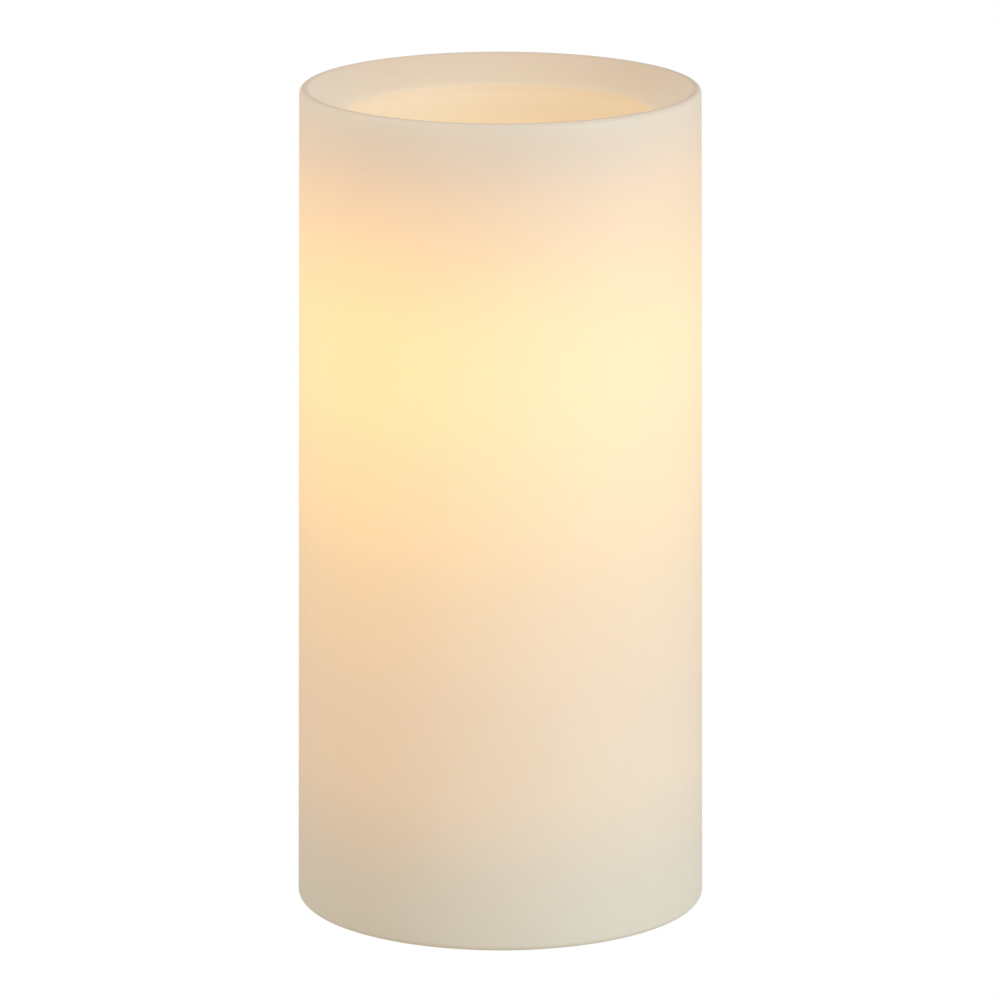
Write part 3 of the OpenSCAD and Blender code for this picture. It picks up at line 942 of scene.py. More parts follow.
@dataclass(frozen=True)
class CellJacket:
    """Printed jacket of a plain AAA cell, with bare steel at both ends.

    Args:
        name: the material's name.
        axis_y: the cell axis's place along Y.
        axis_z: the cell axis's place along Z.
        minus_x: where the minus end is along X.
        plus_way: 1 when the plus end points to +X, else -1.
        length: length of the cell's body.
        jacket: colour of the jacket's main part.
        band: colour of the band at the plus end.
        line: colour of the thin line beside the band.
        steel: colour of the bare ends.
        sleeve: zone of radius where the jacket starts.
        band_start: zone along the cell, as shares of its length, where the band starts.
        line_start: zone where the thin line starts.
        line_end: zone where the thin line ends.
        jacket_metal: how metallic the jacket is.
        band_metal: how metallic the band is.
    """

    name: str
    axis_y: float
    axis_z: float
    minus_x: float
    plus_way: int
    length: float
    jacket: Colour = (0.035, 0.038, 0.045)
    band: Colour = (0.62, 0.33, 0.10)
    line: Colour = (0.72, 0.72, 0.70)
    steel: Colour = (0.72, 0.71, 0.68)
    sleeve: Zone = (4.55 * MM, 4.65 * MM)
    band_start: Zone = (0.745, 0.750)
    line_start: Zone = (0.722, 0.725)
    line_end: Zone = (0.735, 0.738)
    jacket_metal: float = 0.25
    band_metal: float = 0.80

    def make(self) -> bpy.types.Material:
        """Builds the material.

        Returns:
            The printed jacket.
        """
        g = Paint(self.name, Roughness=0.3, Coat_Roughness=0.15)
        place = g.place()
        x, y, z = g.split(place)
        along = (x - self.minus_x) * self.plus_way / self.length
        dy = y - self.axis_y
        dz = z - self.axis_z
        sleeve = ((dy * dy + dz * dz) ** 0.5).step(*self.sleeve)
        copper = along.step(*self.band_start)
        stripe = along.between(self.line_start, self.line_end)
        print_colour = g.mix(stripe, g.mix(copper, self.jacket, self.band), self.line)
        wear = g.noise(place, scale=700.0, detail=4.0)
        worn = g.mix(wear * 0.03, print_colour, self.steel)
        g.feed("Base Color", g.mix(sleeve, self.steel, worn))
        dull = (1 - self.jacket_metal) - copper * (self.band_metal - self.jacket_metal)
        g.feed("Metallic", 1 - sleeve * dull)
        g.feed("Coat Weight", sleeve * 0.7)
        g.feed("Roughness", 0.24 + wear * 0.08)
        return g.material


@dataclass(frozen=True)
class PrintedBoard:
    """Green circuit board with copper tracks under the solder mask.

    Args:
        name: the material's name.
        pitch: distance between neighbouring tracks.
        cross_pitch: distance between the tracks that cross them.
        mask: colour of the bare mask.
        track: colour of the mask over a track.
        lanes: a whole number that keeps the count of tracks above 0.
    """

    name: str
    pitch: float = 1.27 * MM
    cross_pitch: float = 2.413 * MM
    mask: Colour = (0.012, 0.10, 0.035)
    track: Colour = (0.03, 0.19, 0.06)
    lanes: float = 100.0

    def make(self) -> bpy.types.Material:
        """Builds the material.

        Returns:
            The board.
        """
        g = Paint(self.name, Roughness=0.35, Coat_Weight=0.4)
        place = g.place()
        x, y, _ = g.split(place)
        along = (x / self.pitch + self.lanes).modulo(1.0).between((0.30, 0.34), (0.62, 0.66))
        cross = (y / self.cross_pitch + self.lanes).modulo(1.0).between((0.42, 0.45), (0.58, 0.61))
        patch = g.noise(place, scale=170.0, detail=1.0).step(0.47, 0.49)
        tracks = along * patch + cross * (1 - patch)
        g.feed("Base Color", g.mix(tracks, self.mask, self.track))
        g.feed("Roughness", 0.30 + g.noise(place, scale=900.0, detail=3.0) * 0.15)
        g.bump(tracks, depth=0.03 * MM, strength=0.7)
        return g.material


@dataclass(frozen=True)
class ClearLamp:
    """Tinted clear or frosted plastic that is lit from inside.

    Args:
        name: the material's name.
        colour: tint of the plastic.
        glow: colour of its light.
        strength: how bright it is.
        frost: roughness of the surface.
        clear: share of light that passes.
    """

    name: str
    colour: Colour
    glow: Colour
    strength: float
    frost: float
    clear: float

    def make(self) -> bpy.types.Material:
        """Builds the material.

        Returns:
            The lit plastic.
        """
        g = Paint(
            self.name, Base_Color=self.colour, Transmission_Weight=self.clear, IOR=1.49,
            Emission_Strength=self.strength,
        )
        haze = g.noise(g.place(), scale=800.0, detail=3.0)
        g.feed("Roughness", self.frost - 0.05 + haze * 0.1)
        g.mottle(haze, 0.4, self.glow, shade_of(self.glow, 0.8), "Emission Color")
        return g.material


# ---------------------------------------------------------------- sub-assemblies


def middle(node: str) -> Vector:
    """The middle of a model node's box."""
    low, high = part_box(node)
    return (low + high) / 2


def soften_parts(
    parts: Sequence[tuple[str, str, float, Body, Union[MouldedPlastic, SheetMetal]]]
) -> None:
    """Makes soft-edged copies of small model nodes, each in the slot of its finish's name.

    Args:
        parts: each node, the new piece's name, its edge's width, its body and its finish.
    """
    made: dict[str, bpy.types.Material] = {}
    for node, name, edge, body, finish in parts:
        if finish.name not in made:
            made[finish.name] = finish.make()
        settle(softened_copy(node, name, edge), body, made[finish.name])


@dataclass
class WaxPillar:
    """The cast wax shell, with its rim, well and light chamber.

    Args:
        draft: how much smaller the crest's radius is than the foot's.
        foot_round: radius of the rounded bottom edge.
        crest_round: radius of the rounded crest.
        mouth_round: radius of the well's soft edge.
        well_radius: radius of the well at its mouth.
        well_round: radius of the rounding round the well's floor.
        rim_drop: drop of the sloped rim face.
        well_depth: depth of the well's floor under the crest.
        floor_wax: wax between the well's floor and the chamber.
        chamber_radius: radius of the light chamber at its foot.
        chamber_round: radius of the chamber's upper edge.
        bore_gap: gap all round the base unit.
        bore_round: radius of the step over the base unit.
        seat_gap: gap round and over the base's flange.
        seat_depth: depth of the seat for the flange.
        inner_foot_round: radius of the foot's inner edge.
        taper: how much the well and chamber narrow from end to end.
        ripple: depth of the casting's slight unevenness.
        wall_zone: zone of radius where the unevenness starts.
        wave_height: how much closer the waves are along the height.
        wave_scale: how close the waves are.
        seed: picks the pattern of the waves.
        sides: faces round the pillar.
        longest: longest step along its outline.
        steps: points in each rounded corner.
    """

    draft: float = 1.1 * MM
    foot_round: float = 1.2 * MM
    crest_round: float = 1.0 * MM
    mouth_round: float = 1.2 * MM
    well_radius: float = 28.2 * MM
    well_round: float = 4.0 * MM
    rim_drop: float = 4.2 * MM
    well_depth: float = 27.0 * MM
    floor_wax: float = 5.5 * MM
    chamber_radius: float = 29.5 * MM
    chamber_round: float = 5.0 * MM
    bore_gap: float = 0.4 * MM
    bore_round: float = 0.2 * MM
    seat_gap: float = 0.3 * MM
    seat_depth: float = 2.2 * MM
    inner_foot_round: float = 0.3 * MM
    taper: float = 1.0 * MM
    ripple: float = 0.14 * MM
    wall_zone: Zone = (34 * MM, 36 * MM)
    wave_height: float = 16.0
    wave_scale: float = 1.7
    seed: float = 7.0
    sides: int = 168
    longest: float = 3.2 * MM
    steps: int = 7

    def rim_face(self, crest: float, top: float) -> Callable[[float], float]:
        """The sloped face that joins the crest's round to the mouth's round.

        Args:
            crest: radius of the wall at the crest.
            top: height of the crest.

        Returns:
            The face's height at a radius.
        """
        mouth_top = top - self.rim_drop - self.mouth_round
        outer = Vector((crest - self.crest_round, top - self.crest_round))
        inner = Vector((self.well_radius + self.mouth_round, mouth_top))
        span = outer - inner
        turn = math.acos((self.mouth_round - self.crest_round) / span.length)
        lean = math.atan2(span.y, span.x) + turn
        across = Vector((math.cos(lean), math.sin(lean)))
        level = across.dot(outer) + self.crest_round
        return lambda radius: (level - across.x * radius) / across.y

    def corners(self) -> list[Corner]:
        """The outline from the chamber's roof round the outside to the well's floor.

        Returns:
            The outline's corners.
        """
        low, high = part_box("wax_shell")
        crest = high.x - self.draft
        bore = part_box("top_cover")[1].x + self.bore_gap
        bore_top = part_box("cover_screws")[1].z + self.seat_gap
        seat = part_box("base_housing")[1].x + self.seat_gap
        seat_top = low.z + self.seat_depth
        well_floor = high.z - self.well_depth
        roof = well_floor - self.floor_wax
        face = self.rim_face(crest, high.z)
        return [
            Corner("Chamber roof", 0.0, roof),
            Corner("Chamber shoulder", self.chamber_radius - self.taper, roof, self.chamber_round),
            Corner("Chamber foot", self.chamber_radius, bore_top),
            Corner("Bore top", bore, bore_top, self.bore_round),
            Corner("Bore foot", bore, seat_top),
            Corner("Flange seat", seat, seat_top),
            Corner("Foot inside", seat, low.z, self.inner_foot_round),
            Corner("Foot outside", high.x, low.z, self.foot_round),
            Corner("Crest", crest, face(crest), self.crest_round),
            Corner("Well mouth", self.well_radius, face(self.well_radius), self.mouth_round),
            Corner("Well foot", self.well_radius - self.taper, well_floor, self.well_round),
            Corner("Well centre", 0.0, well_floor),
        ]

    def build(self) -> None:
        """Turns the shell and makes its outside very slightly uneven."""
        tree = TurnedTree(
            "Wax shell shape", self.corners(), self.sides, self.longest, self.steps,
            {"Ripple": self.ripple, "Seed": self.seed},
        )

        def uneven(radius: Value, angle: Value, height: Value) -> Value:
            """Draws the outer wall in by a little, differently at each place.

            Args:
                radius: the plain radius.
                angle: the angle round the pillar.
                height: the height.

            Returns:
                The uneven radius.
            """
            where = tree.join(angle.cos(), angle.sin(), height * self.wave_height)
            wave = tree.node(
                "ShaderNodeTexNoise", {"noise_dimensions": "4D"},
                {"Vector": where, "W": tree.size("Seed"), "Scale": self.wave_scale, "Detail": 2.0},
            )
            return radius - tree.size("Ripple") * wave * radius.step(*self.wall_zone)

        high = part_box("wax_shell")[1]
        wax = WaxFinish(high.z, self.well_radius, high.x - self.draft - self.crest_round).make()
        shell = tree.make("wax_pillar", tree.turned(uneven), wax)
        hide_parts("wax_shell")
        settle(shell, Body.CANDLE, wax)


@dataclass
class PowerPack:
    """Three AAA cells with their springs and contact plates.

    Args:
        radius: radius of a cell.
        nub: length of the plus nub.
        nub_radius: radius of the plus nub.
        rim: width of the steel inside the jacket's folded edge.
        fold: how far the jacket's folded edge stands from the steel's end.
        wire: radius of the spring wire.
        turns: turns of a spring.
        wide: radius of a spring's turns at its plate.
        narrow: radius of its turns at the cell.
    """

    radius: float = 5.25 * MM
    nub: float = 1.0 * MM
    nub_radius: float = 1.9 * MM
    rim: float = 1.1 * MM
    fold: float = 0.1 * MM
    wire: float = 0.3 * MM
    turns: float = 3.5
    wide: float = 3.6 * MM
    narrow: float = 2.4 * MM

    def cell_corners(self, length: float) -> list[Corner]:
        """Outline of a cell that stands on its minus end.

        Args:
            length: length of the cell over its nub.

        Returns:
            The outline's corners.
        """
        r = self.radius
        groove = r - self.rim
        body = length - self.nub
        return [
            Corner("Minus centre", 0.0, 0.0),
            Corner("Minus plate", groove - 0.1 * MM, 0.0, 0.15 * MM),
            Corner("Minus groove", groove, 0.35 * MM, 0.1 * MM),
            Corner("Jacket foot", r, self.fold, 0.5 * MM),
            Corner("Jacket top", r, body - self.fold, 0.6 * MM),
            Corner("Plus groove", groove, body - 0.4 * MM, 0.1 * MM),
            Corner("Plus shoulder", self.nub_radius + 0.9 * MM, body, 0.3 * MM),
            Corner("Nub foot", self.nub_radius, body, 0.15 * MM),
            Corner("Nub top", self.nub_radius, length, 0.35 * MM),
            Corner("Nub centre", 0.0, length),
        ]

    def cell(self, number: int, way: int) -> None:
        """Turns one cell and lays it in the bay.

        Args:
            number: the cell's number.
            way: 1 when its plus end points to +X, else -1.
        """
        node = f"battery_{number}"
        low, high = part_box(node)
        length = high.x - low.x
        axis = middle(node)
        minus = low.x if way > 0 else high.x
        tree = TurnedTree(
            f"Cell {number} shape", self.cell_corners(length), sides=56, longest=8 * MM, steps=3
        )
        lying = tree.transform(tree.turned(), (minus, axis.y, axis.z), (0, way * math.pi / 2, 0))
        jacket = CellJacket(f"cell_jacket_{number}", axis.y, axis.z, minus, way, length).make()
        piece = tree.make(f"aaa_cell_{number}", lying, jacket)
        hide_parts(node)
        settle(piece, Body.CANDLE, jacket)

    def spring(self, number: int, way: int, steel: bpy.types.Material) -> None:
        """Coils one contact spring between its plate and its cell.

        Args:
            number: the number of its cell.
            way: 1 when the cell's plus end points to +X, else -1.
            steel: the wire's finish.
        """
        node = f"spring_{number}"
        low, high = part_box(node)
        axis = middle(f"battery_{number}")
        start = low.x + self.wire if way > 0 else high.x - self.wire
        sizes = {
            "Turns": self.turns, "Wide radius": self.wide, "Narrow radius": self.narrow,
            "Length": high.x - low.x - 2 * self.wire, "Wire radius": self.wire,
        }
        tree = CurveTree(f"Spring {number} shape", sizes)
        coil = tree.node(
            "GeometryNodeCurveSpiral", None,
            {"Resolution": 26, "Rotations": tree.size("Turns"),
             "Start Radius": tree.size("Wide radius"), "End Radius": tree.size("Narrow radius"),
             "Height": tree.size("Length")},
        )
        tube = tree.tube(coil, tree.size("Wire radius"), sides=10)
        lying = tree.transform(tube, (start, axis.y, axis.z), (0, way * math.pi / 2, 0))
        piece = tree.make(f"contact_spring_{number}", lying, steel)
        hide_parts(node)
        settle(piece, Body.CANDLE, steel)

    def build(self) -> None:
        """Makes the cells and springs and dresses the contact plates."""
        wire = SheetMetal("spring_steel", (0.74, 0.73, 0.70), 0.25).make()
        for number, way in ((1, 1), (2, -1), (3, 1)):
            self.cell(number, way)
            self.spring(number, way, wire)
        plate = SheetMetal("nickel_plate", (0.77, 0.75, 0.70), 0.22, (1.0, 1.0, 0.08)).make()
        for contact in ("negative_contact", "positive_contact", "jumper_contact_left",
                        "jumper_contact_right"):
            keep(contact, plate)


@dataclass
class BaseUnit:
    """The moulded base: housing, cover, pads, glue and screws.

    Args:
        plastic: the ivory plastic that the mouldings share.
        edge: width of the mouldings' rounded edges.
        pad_radius: radius of a foot pad.
        pad_edge: radius of a pad's upper edge.
        pad_round: radius of a pad's lower edge.
        marks: number of ejector marks.
        mark_reach: distance of the ejector marks from the middle.
        mark_radius: radius of an ejector mark.
        mark_bead: radius of its raised line.
        symbol_reach: distance of the switch's symbols from its middle.
        symbol_radius: radius of the symbol for off.
        symbol_bar: length of the symbol for on.
        symbol_bead: radius of the symbols' raised line.
    """

    plastic: bpy.types.Material
    edge: float = 0.22 * MM
    pad_radius: float = 3.0 * MM
    pad_edge: float = 0.1 * MM
    pad_round: float = 0.45 * MM
    marks: int = 8
    mark_reach: float = 30.2 * MM
    mark_radius: float = 1.1 * MM
    mark_bead: float = 0.09 * MM
    symbol_reach: float = 9.6 * MM
    symbol_radius: float = 1.3 * MM
    symbol_bar: float = 2.8 * MM
    symbol_bead: float = 0.2 * MM

    def build(self) -> None:
        """Makes the mouldings and pads and dresses the rest."""
        for node, name in (("base_housing", "base_housing_shell"), ("top_cover", "base_top_cover")):
            settle(softened_copy(node, name, self.edge), Body.CANDLE, self.plastic)
        self.pads()
        self.ejector_marks()
        self.switch_symbols()
        keep("glue_beads", SoftRubber("clear_glue", (0.85, 0.82, 0.72), 0.35).make())
        zinc = SheetMetal("zinc_screw", (0.70, 0.70, 0.68), 0.30).make()
        keep("cover_screws", zinc)
        keep("board_screws", zinc)

    def pads(self) -> None:
        """Sets four round pads at the corners of a square."""
        rubber = SoftRubber("pad_rubber", (0.84, 0.83, 0.78), 0.75).make()
        low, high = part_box("foot_pads")
        corners = [
            Corner("Top centre", 0.0, high.z),
            Corner("Top edge", self.pad_radius, high.z, self.pad_edge),
            Corner("Bottom edge", self.pad_radius, low.z, self.pad_round),
            Corner("Bottom centre", 0.0, low.z),
        ]
        tree = TurnedTree(
            "Foot pad shape", corners, sides=40, longest=1 * MM, steps=5,
            extra={"Spread": 2 * (high.x - self.pad_radius)},
        )
        pad = tree.turned()
        side = tree.size("Spread")
        square = tree.node(
            "GeometryNodeMeshGrid", None,
            {"Size X": side, "Size Y": side, "Vertices X": 2, "Vertices Y": 2},
        )
        piece = tree.make("foot_pad_set", tree.copies(square, pad), rubber)
        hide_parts("foot_pads")
        settle(piece, Body.CANDLE, rubber)

    def ejector_marks(self) -> None:
        """Adds the faint raised rings that the mould's ejector pins leave on the underside."""
        sizes = {
            "Reach": self.mark_reach, "Ring radius": self.mark_radius,
            "Bead radius": self.mark_bead, "Count": self.marks,
        }
        tree = CurveTree("Ejector mark shape", sizes)
        ring = tree.circle(tree.size("Ring radius"), sides=28)
        mark = tree.tube(ring, tree.size("Bead radius"), sides=8)
        spread = tree.circle(tree.size("Reach"), tree.size("Count"))
        points = tree.node("GeometryNodeCurveToMesh", None, {"Curve": spread})
        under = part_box("base_housing")[0].z
        turn = (0.0, 0.0, math.pi / self.marks)
        placed = tree.transform(tree.copies(points, mark), (0.0, 0.0, under), turn)
        rings = tree.make("ejector_marks", placed, self.plastic)
        settle(rings, Body.CANDLE, self.plastic)

    def switch_symbols(self) -> None:
        """Raises a bar for on and a ring for off beside the slide switch."""
        knob = middle("switch_button")
        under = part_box("base_housing")[0].z
        on = (knob.x + self.symbol_reach, knob.y, under)
        off = (-on[0], knob.y, under)
        sizes = {
            "Bead radius": self.symbol_bead, "Ring radius": self.symbol_radius,
            "Bar length": self.symbol_bar,
        }
        tree = CurveTree("Switch symbol shape", sizes)
        bead = tree.size("Bead radius")
        ring = tree.tube(tree.circle(tree.size("Ring radius"), sides=36), bead, sides=10)
        half = tree.size("Bar length") / 2.0
        line = tree.node(
            "GeometryNodeCurvePrimitiveLine", {"mode": "POINTS"},
            {"Start": tree.join(0.0, half * -1.0, 0.0), "End": tree.join(0.0, half, 0.0)},
        )
        bar = tree.tube(line, bead, sides=10)
        both = tree.joined([tree.transform(ring, off), tree.transform(bar, on)])
        symbols = tree.make("switch_symbols", both, self.plastic)
        settle(symbols, Body.CANDLE, self.plastic)


@dataclass
class BatteryDoor:
    """The hinged door and its latch tongue.

    Args:
        plastic: the ivory plastic of the mouldings.
        edge: width of the door's rounded edges.
        tongue_edge: width of the tongue's rounded edges.
        arrow_inset: distance from the door's edge to the raised arrowhead.
        arrow_half: half the width of the arrowhead.
        arrow_deep: length of the arrowhead.
        arrow_proud: how far it stands out.
        arrow_sunk: how far it reaches into the door.
        arrow_middle: the point that it narrows to, as a share of its length.
        arrow_top: its outline's size on top, as a share of its foot's.
    """

    plastic: bpy.types.Material
    edge: float = 0.2 * MM
    tongue_edge: float = 0.12 * MM
    arrow_inset: float = 3.0 * MM
    arrow_half: float = 2.4 * MM
    arrow_deep: float = 3.2 * MM
    arrow_proud: float = 0.25 * MM
    arrow_sunk: float = 0.05 * MM
    arrow_middle: float = 0.6
    arrow_top: float = 0.82

    def build(self) -> None:
        """Makes the door, its tongue and the arrow that shows which end opens."""
        door = softened_copy("battery_door", "battery_door_panel", self.edge)
        settle(door, Body.DOOR, self.plastic)
        tongue = softened_copy("latch_tongue", "latch_tongue_spring", self.tongue_edge)
        settle(tongue, Body.TONGUE, self.plastic)
        self.arrow()

    def arrow(self) -> None:
        """Raises a plain arrowhead on the outside of the door, pointing to the latch."""
        low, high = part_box("battery_door")
        tip = high.x - self.arrow_inset
        back = tip - self.arrow_deep
        centre = tip - self.arrow_deep * self.arrow_middle
        outline = [(tip, 0.0), (back, self.arrow_half), (back, -self.arrow_half)]
        bm = bmesh.new()
        levels = ((low.z + self.arrow_sunk, 1.0), (low.z - self.arrow_proud, self.arrow_top))
        foot, top = (
            [bm.verts.new((centre + (x - centre) * size, y * size, z)) for x, y in outline]
            for z, size in levels
        )
        for i in range(len(outline)):
            j = (i + 1) % len(outline)
            bm.faces.new((foot[i], foot[j], top[j], top[i]))
        bm.faces.new(foot)
        bm.faces.new(top)
        mesh = bpy.data.meshes.new("door_arrow")
        bm.to_mesh(mesh)
        bm.free()
        face_out(mesh)
        settle(add_object("door_arrow", mesh), Body.DOOR, self.plastic)


@dataclass
class SlideSwitch:
    """The slide switch and the button under the base.

    Args:
        edge: width of the button's rounded edges.
        fold: width of the metal's and plate's rounded edges.
    """

    edge: float = 0.12 * MM
    fold: float = 0.06 * MM

    def build(self) -> None:
        """Makes the button, slider, frame and plate and dresses the terminals."""
        acetal = MouldedPlastic("black_acetal", (0.022, 0.022, 0.024), 0.42, 0.01 * MM)
        metal = SheetMetal("switch_steel", (0.66, 0.67, 0.68), 0.28, (0.1, 1.0, 1.0))
        phenolic = MouldedPlastic("phenolic", (0.20, 0.085, 0.03), 0.5, 0.01 * MM)
        soften_parts([
            ("switch_button", "switch_button_knob", self.edge, Body.BUTTON, acetal),
            ("switch_slider", "switch_slider_block", self.edge, Body.BUTTON, acetal),
            ("switch_frame", "switch_frame_shell", self.fold, Body.CANDLE, metal),
            ("switch_base", "switch_base_plate", self.fold, Body.CANDLE, phenolic),
        ])
        keep("switch_terminals", SheetMetal("tinned_brass", (0.76, 0.74, 0.66), 0.3).make())


@dataclass
class TimerBoard:
    """The circuit board with its parts.

    Args:
        package_edge: width of the small packages' rounded edges.
        can_edge: width of the capacitor's rounded edge.
    """

    package_edge: float = 0.06 * MM
    can_edge: float = 0.25 * MM

    def build(self) -> None:
        """Dresses the board and makes its parts' edges soft."""
        keep("circuit_board", PrintedBoard("green_board").make())
        keep("timer_crystal", SheetMetal("crystal_can", (0.78, 0.78, 0.77), 0.2).make())
        epoxy = MouldedPlastic("chip_epoxy", (0.018, 0.018, 0.02), 0.55, 0.012 * MM)
        ceramic = MouldedPlastic("resistor_body", (0.02, 0.02, 0.022), 0.4, 0.005 * MM)
        sleeve = MouldedPlastic("capacitor_can", (0.02, 0.03, 0.075), 0.28, 0.004 * MM)
        soften_parts([
            ("control_chip", "control_chip_package", self.package_edge, Body.CANDLE, epoxy),
            ("resistors", "chip_resistors", self.package_edge, Body.CANDLE, ceramic),
            ("capacitor", "capacitor_body", self.can_edge, Body.CANDLE, sleeve),
        ])


@dataclass
class LightTower:
    """The post, holder, LED and frosted cap in the light chamber.

    Args:
        led_radius: radius of the LED.
        led_flange: how far its flange stands out.
        flange_height: height of its flange.
        cap_wall: thickness of the frosted cap.
        cap_seat: height of the cap's inner rim, which sits on the holder.
        seat_gap: gap between the rim and the holder.
        holder_radius: radius of the holder inside the rim.
        led_tip: rounding of the LED's dome, as a share of its radius.
        cap_tip: rounding of the cap's dome, as a share of its radius.
    """

    led_radius: float = 2.5 * MM
    led_flange: float = 0.4 * MM
    flange_height: float = 1.0 * MM
    cap_wall: float = 1.4 * MM
    cap_seat: float = 2.0 * MM
    seat_gap: float = 0.05 * MM
    holder_radius: float = 4.6 * MM
    led_tip: float = 0.99
    cap_tip: float = 0.98

    def build(self) -> None:
        """Makes the LED and its cap and dresses the post, holder and leads."""
        # The post and holder glow: painted light, emission that stands for the LED's light through
        # them.
        post = MouldedPlastic("white_post", (0.86, 0.83, 0.76), glow=(0.10, 0.05, 0.012))
        holder = MouldedPlastic("white_nylon", (0.88, 0.87, 0.82), glow=(0.3, 0.16, 0.04))
        keep("led_post", post.make())
        keep("led_holder", holder.make())
        keep("led_leads", SheetMetal("tinned_steel", (0.75, 0.75, 0.73), 0.3).make())
        self.led()
        self.cap()

    def led(self) -> None:
        """Turns the 5 mm LED with its flange and dome."""
        low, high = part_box("led")
        r = self.led_radius
        flange = r + self.led_flange
        flange_top = low.z + self.flange_height
        corners = [
            Corner("Base centre", 0.0, low.z),
            Corner("Flange foot", flange, low.z, 0.1 * MM),
            Corner("Flange top", flange, flange_top, 0.15 * MM),
            Corner("Body foot", r, flange_top),
            Corner("Dome edge", r, high.z, r * self.led_tip),
            Corner("Dome top", 0.0, high.z),
        ]
        amber = ClearLamp(
            "amber_epoxy", (1.0, 0.55, 0.12), (1.0, 0.48, 0.09), strength=6.0, frost=0.12,
            clear=0.6,
        ).make()
        tree = TurnedTree("LED shape", corners, sides=40, longest=2 * MM, steps=10)
        piece = tree.make("amber_led", tree.turned(), amber)
        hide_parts("led")
        settle(piece, Body.CANDLE, amber)

    def cap(self) -> None:
        """Turns the frosted cap that spreads the light."""
        low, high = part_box("flame_lens")
        inner = high.x - self.cap_wall
        roof = high.z - self.cap_wall
        seat = self.holder_radius + self.seat_gap
        seat_top = low.z + self.cap_seat
        corners = [
            Corner("Inside top", 0.0, roof),
            Corner("Inside shoulder", inner, roof, inner * self.cap_tip),
            Corner("Inside foot", inner, seat_top),
            Corner("Seat top", seat, seat_top),
            Corner("Seat foot", seat, low.z),
            Corner("Rim foot", high.x, low.z, 0.2 * MM),
            Corner("Outside shoulder", high.x, high.z, high.x * self.cap_tip),
            Corner("Outside top", 0.0, high.z),
        ]
        frosted = ClearLamp(
            "frosted_lens", (1.0, 0.93, 0.8), (1.0, 0.62, 0.24), strength=3.0, frost=0.55,
            clear=0.45,
        ).make()
        tree = TurnedTree("Frosted cap shape", corners, sides=64, longest=2 * MM, steps=12)
        piece = tree.make("frosted_light_cap", tree.turned(), frosted)
        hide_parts("flame_lens")
        settle(piece, Body.CANDLE, frosted)


@dataclass
class Wiring:
    """The insulated wires between the cells, the switch, the board and the LED.

    Args:
        radius: outside radius of a wire.
        lamp_bend: radius of the LED wires' bends.
        bend: radius of the other wires' bends.
        over: height at which the wires cross the bay's roof.
        down: height of the wire ends on the board.
        board_row: place along Y of the board's row of wire holes.
        lamp_row: place along Y where the LED wires leave the board.
        lamp_pitch: distance between the LED wires in the post.
        lamp_spread: how much further apart they are on the board.
        battery_start: Y and Z where the battery wire leaves its contact.
        battery_turn: X and Y where it turns towards the board.
        battery_hole: place along X of its hole in the board.
        switch_start: X and Z where the switch wire leaves its terminal.
        switch_turn: X and Y where it turns towards the board.
        switch_hole: place along X of its hole in the board.
    """

    radius: float = 0.45 * MM
    lamp_bend: float = 1.2 * MM
    bend: float = 1.0 * MM
    over: float = 16.1 * MM
    down: float = 9.3 * MM
    board_row: float = 19.7 * MM
    lamp_row: float = 19.5 * MM
    lamp_pitch: float = 2.54 * MM
    lamp_spread: float = 2.4
    battery_start: Pair = (13 * MM, 12.6 * MM)
    battery_turn: Pair = (-19 * MM, 15 * MM)
    battery_hole: float = -12.6 * MM
    switch_start: Pair = (-3.2 * MM, 11.3 * MM)
    switch_turn: Pair = (-8 * MM, -10 * MM)
    switch_hole: float = -9.3 * MM

    def lamp_route(self, side: int) -> list[Point]:
        """Route of one LED wire, from the board up through the post.

        Args:
            side: -1 for the wire at -X, 1 for the one at +X.

        Returns:
            The route's corner points.
        """
        x = side * self.lamp_pitch / 2
        out = self.lamp_spread * x
        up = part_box("led_wires")[1].z
        return [(out, self.lamp_row, self.down), (out, self.lamp_row, self.over),
                (x, 0.0, self.over), (x, 0.0, up)]

    def board_route(self, start: Point, turn: Pair, hole: float) -> list[Point]:
        """Route of a wire over the bay's roof and down to the board.

        Args:
            start: where the wire starts.
            turn: X and Y where it turns towards the board.
            hole: place along X of its hole in the board.

        Returns:
            The route's corner points.
        """
        return [start, (*start[:2], self.over), (*turn, self.over),
                (hole, self.board_row, self.over), (hole, self.board_row, self.down)]

    def lay(
        self, node: str, name: str, routes: Sequence[Sequence[Point]], bend: float,
        finish: bpy.types.Material,
    ) -> None:
        """Makes the wires of one node along their routes.

        Args:
            node: the model node that they stand for.
            name: the new piece's name.
            routes: the corner points of each wire.
            bend: radius of the bends.
            finish: the insulation.
        """
        tree = CurveTree(name + " shape", {"Wire radius": self.radius, "Bend radius": bend})
        wires = []
        for route in routes:
            points = [tree.join(*point) for point in route]
            line = tree.rounded_line(points, [tree.size("Bend radius")] * len(points), steps=8)
            wires.append(tree.tube(line, tree.size("Wire radius"), sides=14))
        piece = tree.make(name, tree.joined(wires), finish)
        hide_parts(node)
        settle(piece, Body.CANDLE, finish)

    def build(self) -> None:
        """Lays the red and black wires."""
        red = SoftRubber("red_wire", (0.42, 0.025, 0.018), 0.45).make()
        black = SoftRubber("black_wire", (0.02, 0.02, 0.022), 0.45).make()
        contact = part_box("battery_wires")[0].x + self.radius
        terminal = middle("switch_base").y
        x, z = self.switch_start
        lamp = [self.lamp_route(-1), self.lamp_route(1)]
        battery = self.board_route(
            (contact, *self.battery_start), self.battery_turn, self.battery_hole
        )
        switch = self.board_route((x, terminal, z), self.switch_turn, self.switch_hole)
        self.lay("led_wires", "led_wire_pair", lamp, self.lamp_bend, red)
        self.lay("battery_wires", "battery_wire", [battery], self.bend, black)
        self.lay("switch_wires", "switch_wire", [switch], self.bend, red)


# ---------------------------------------------------------------- studio


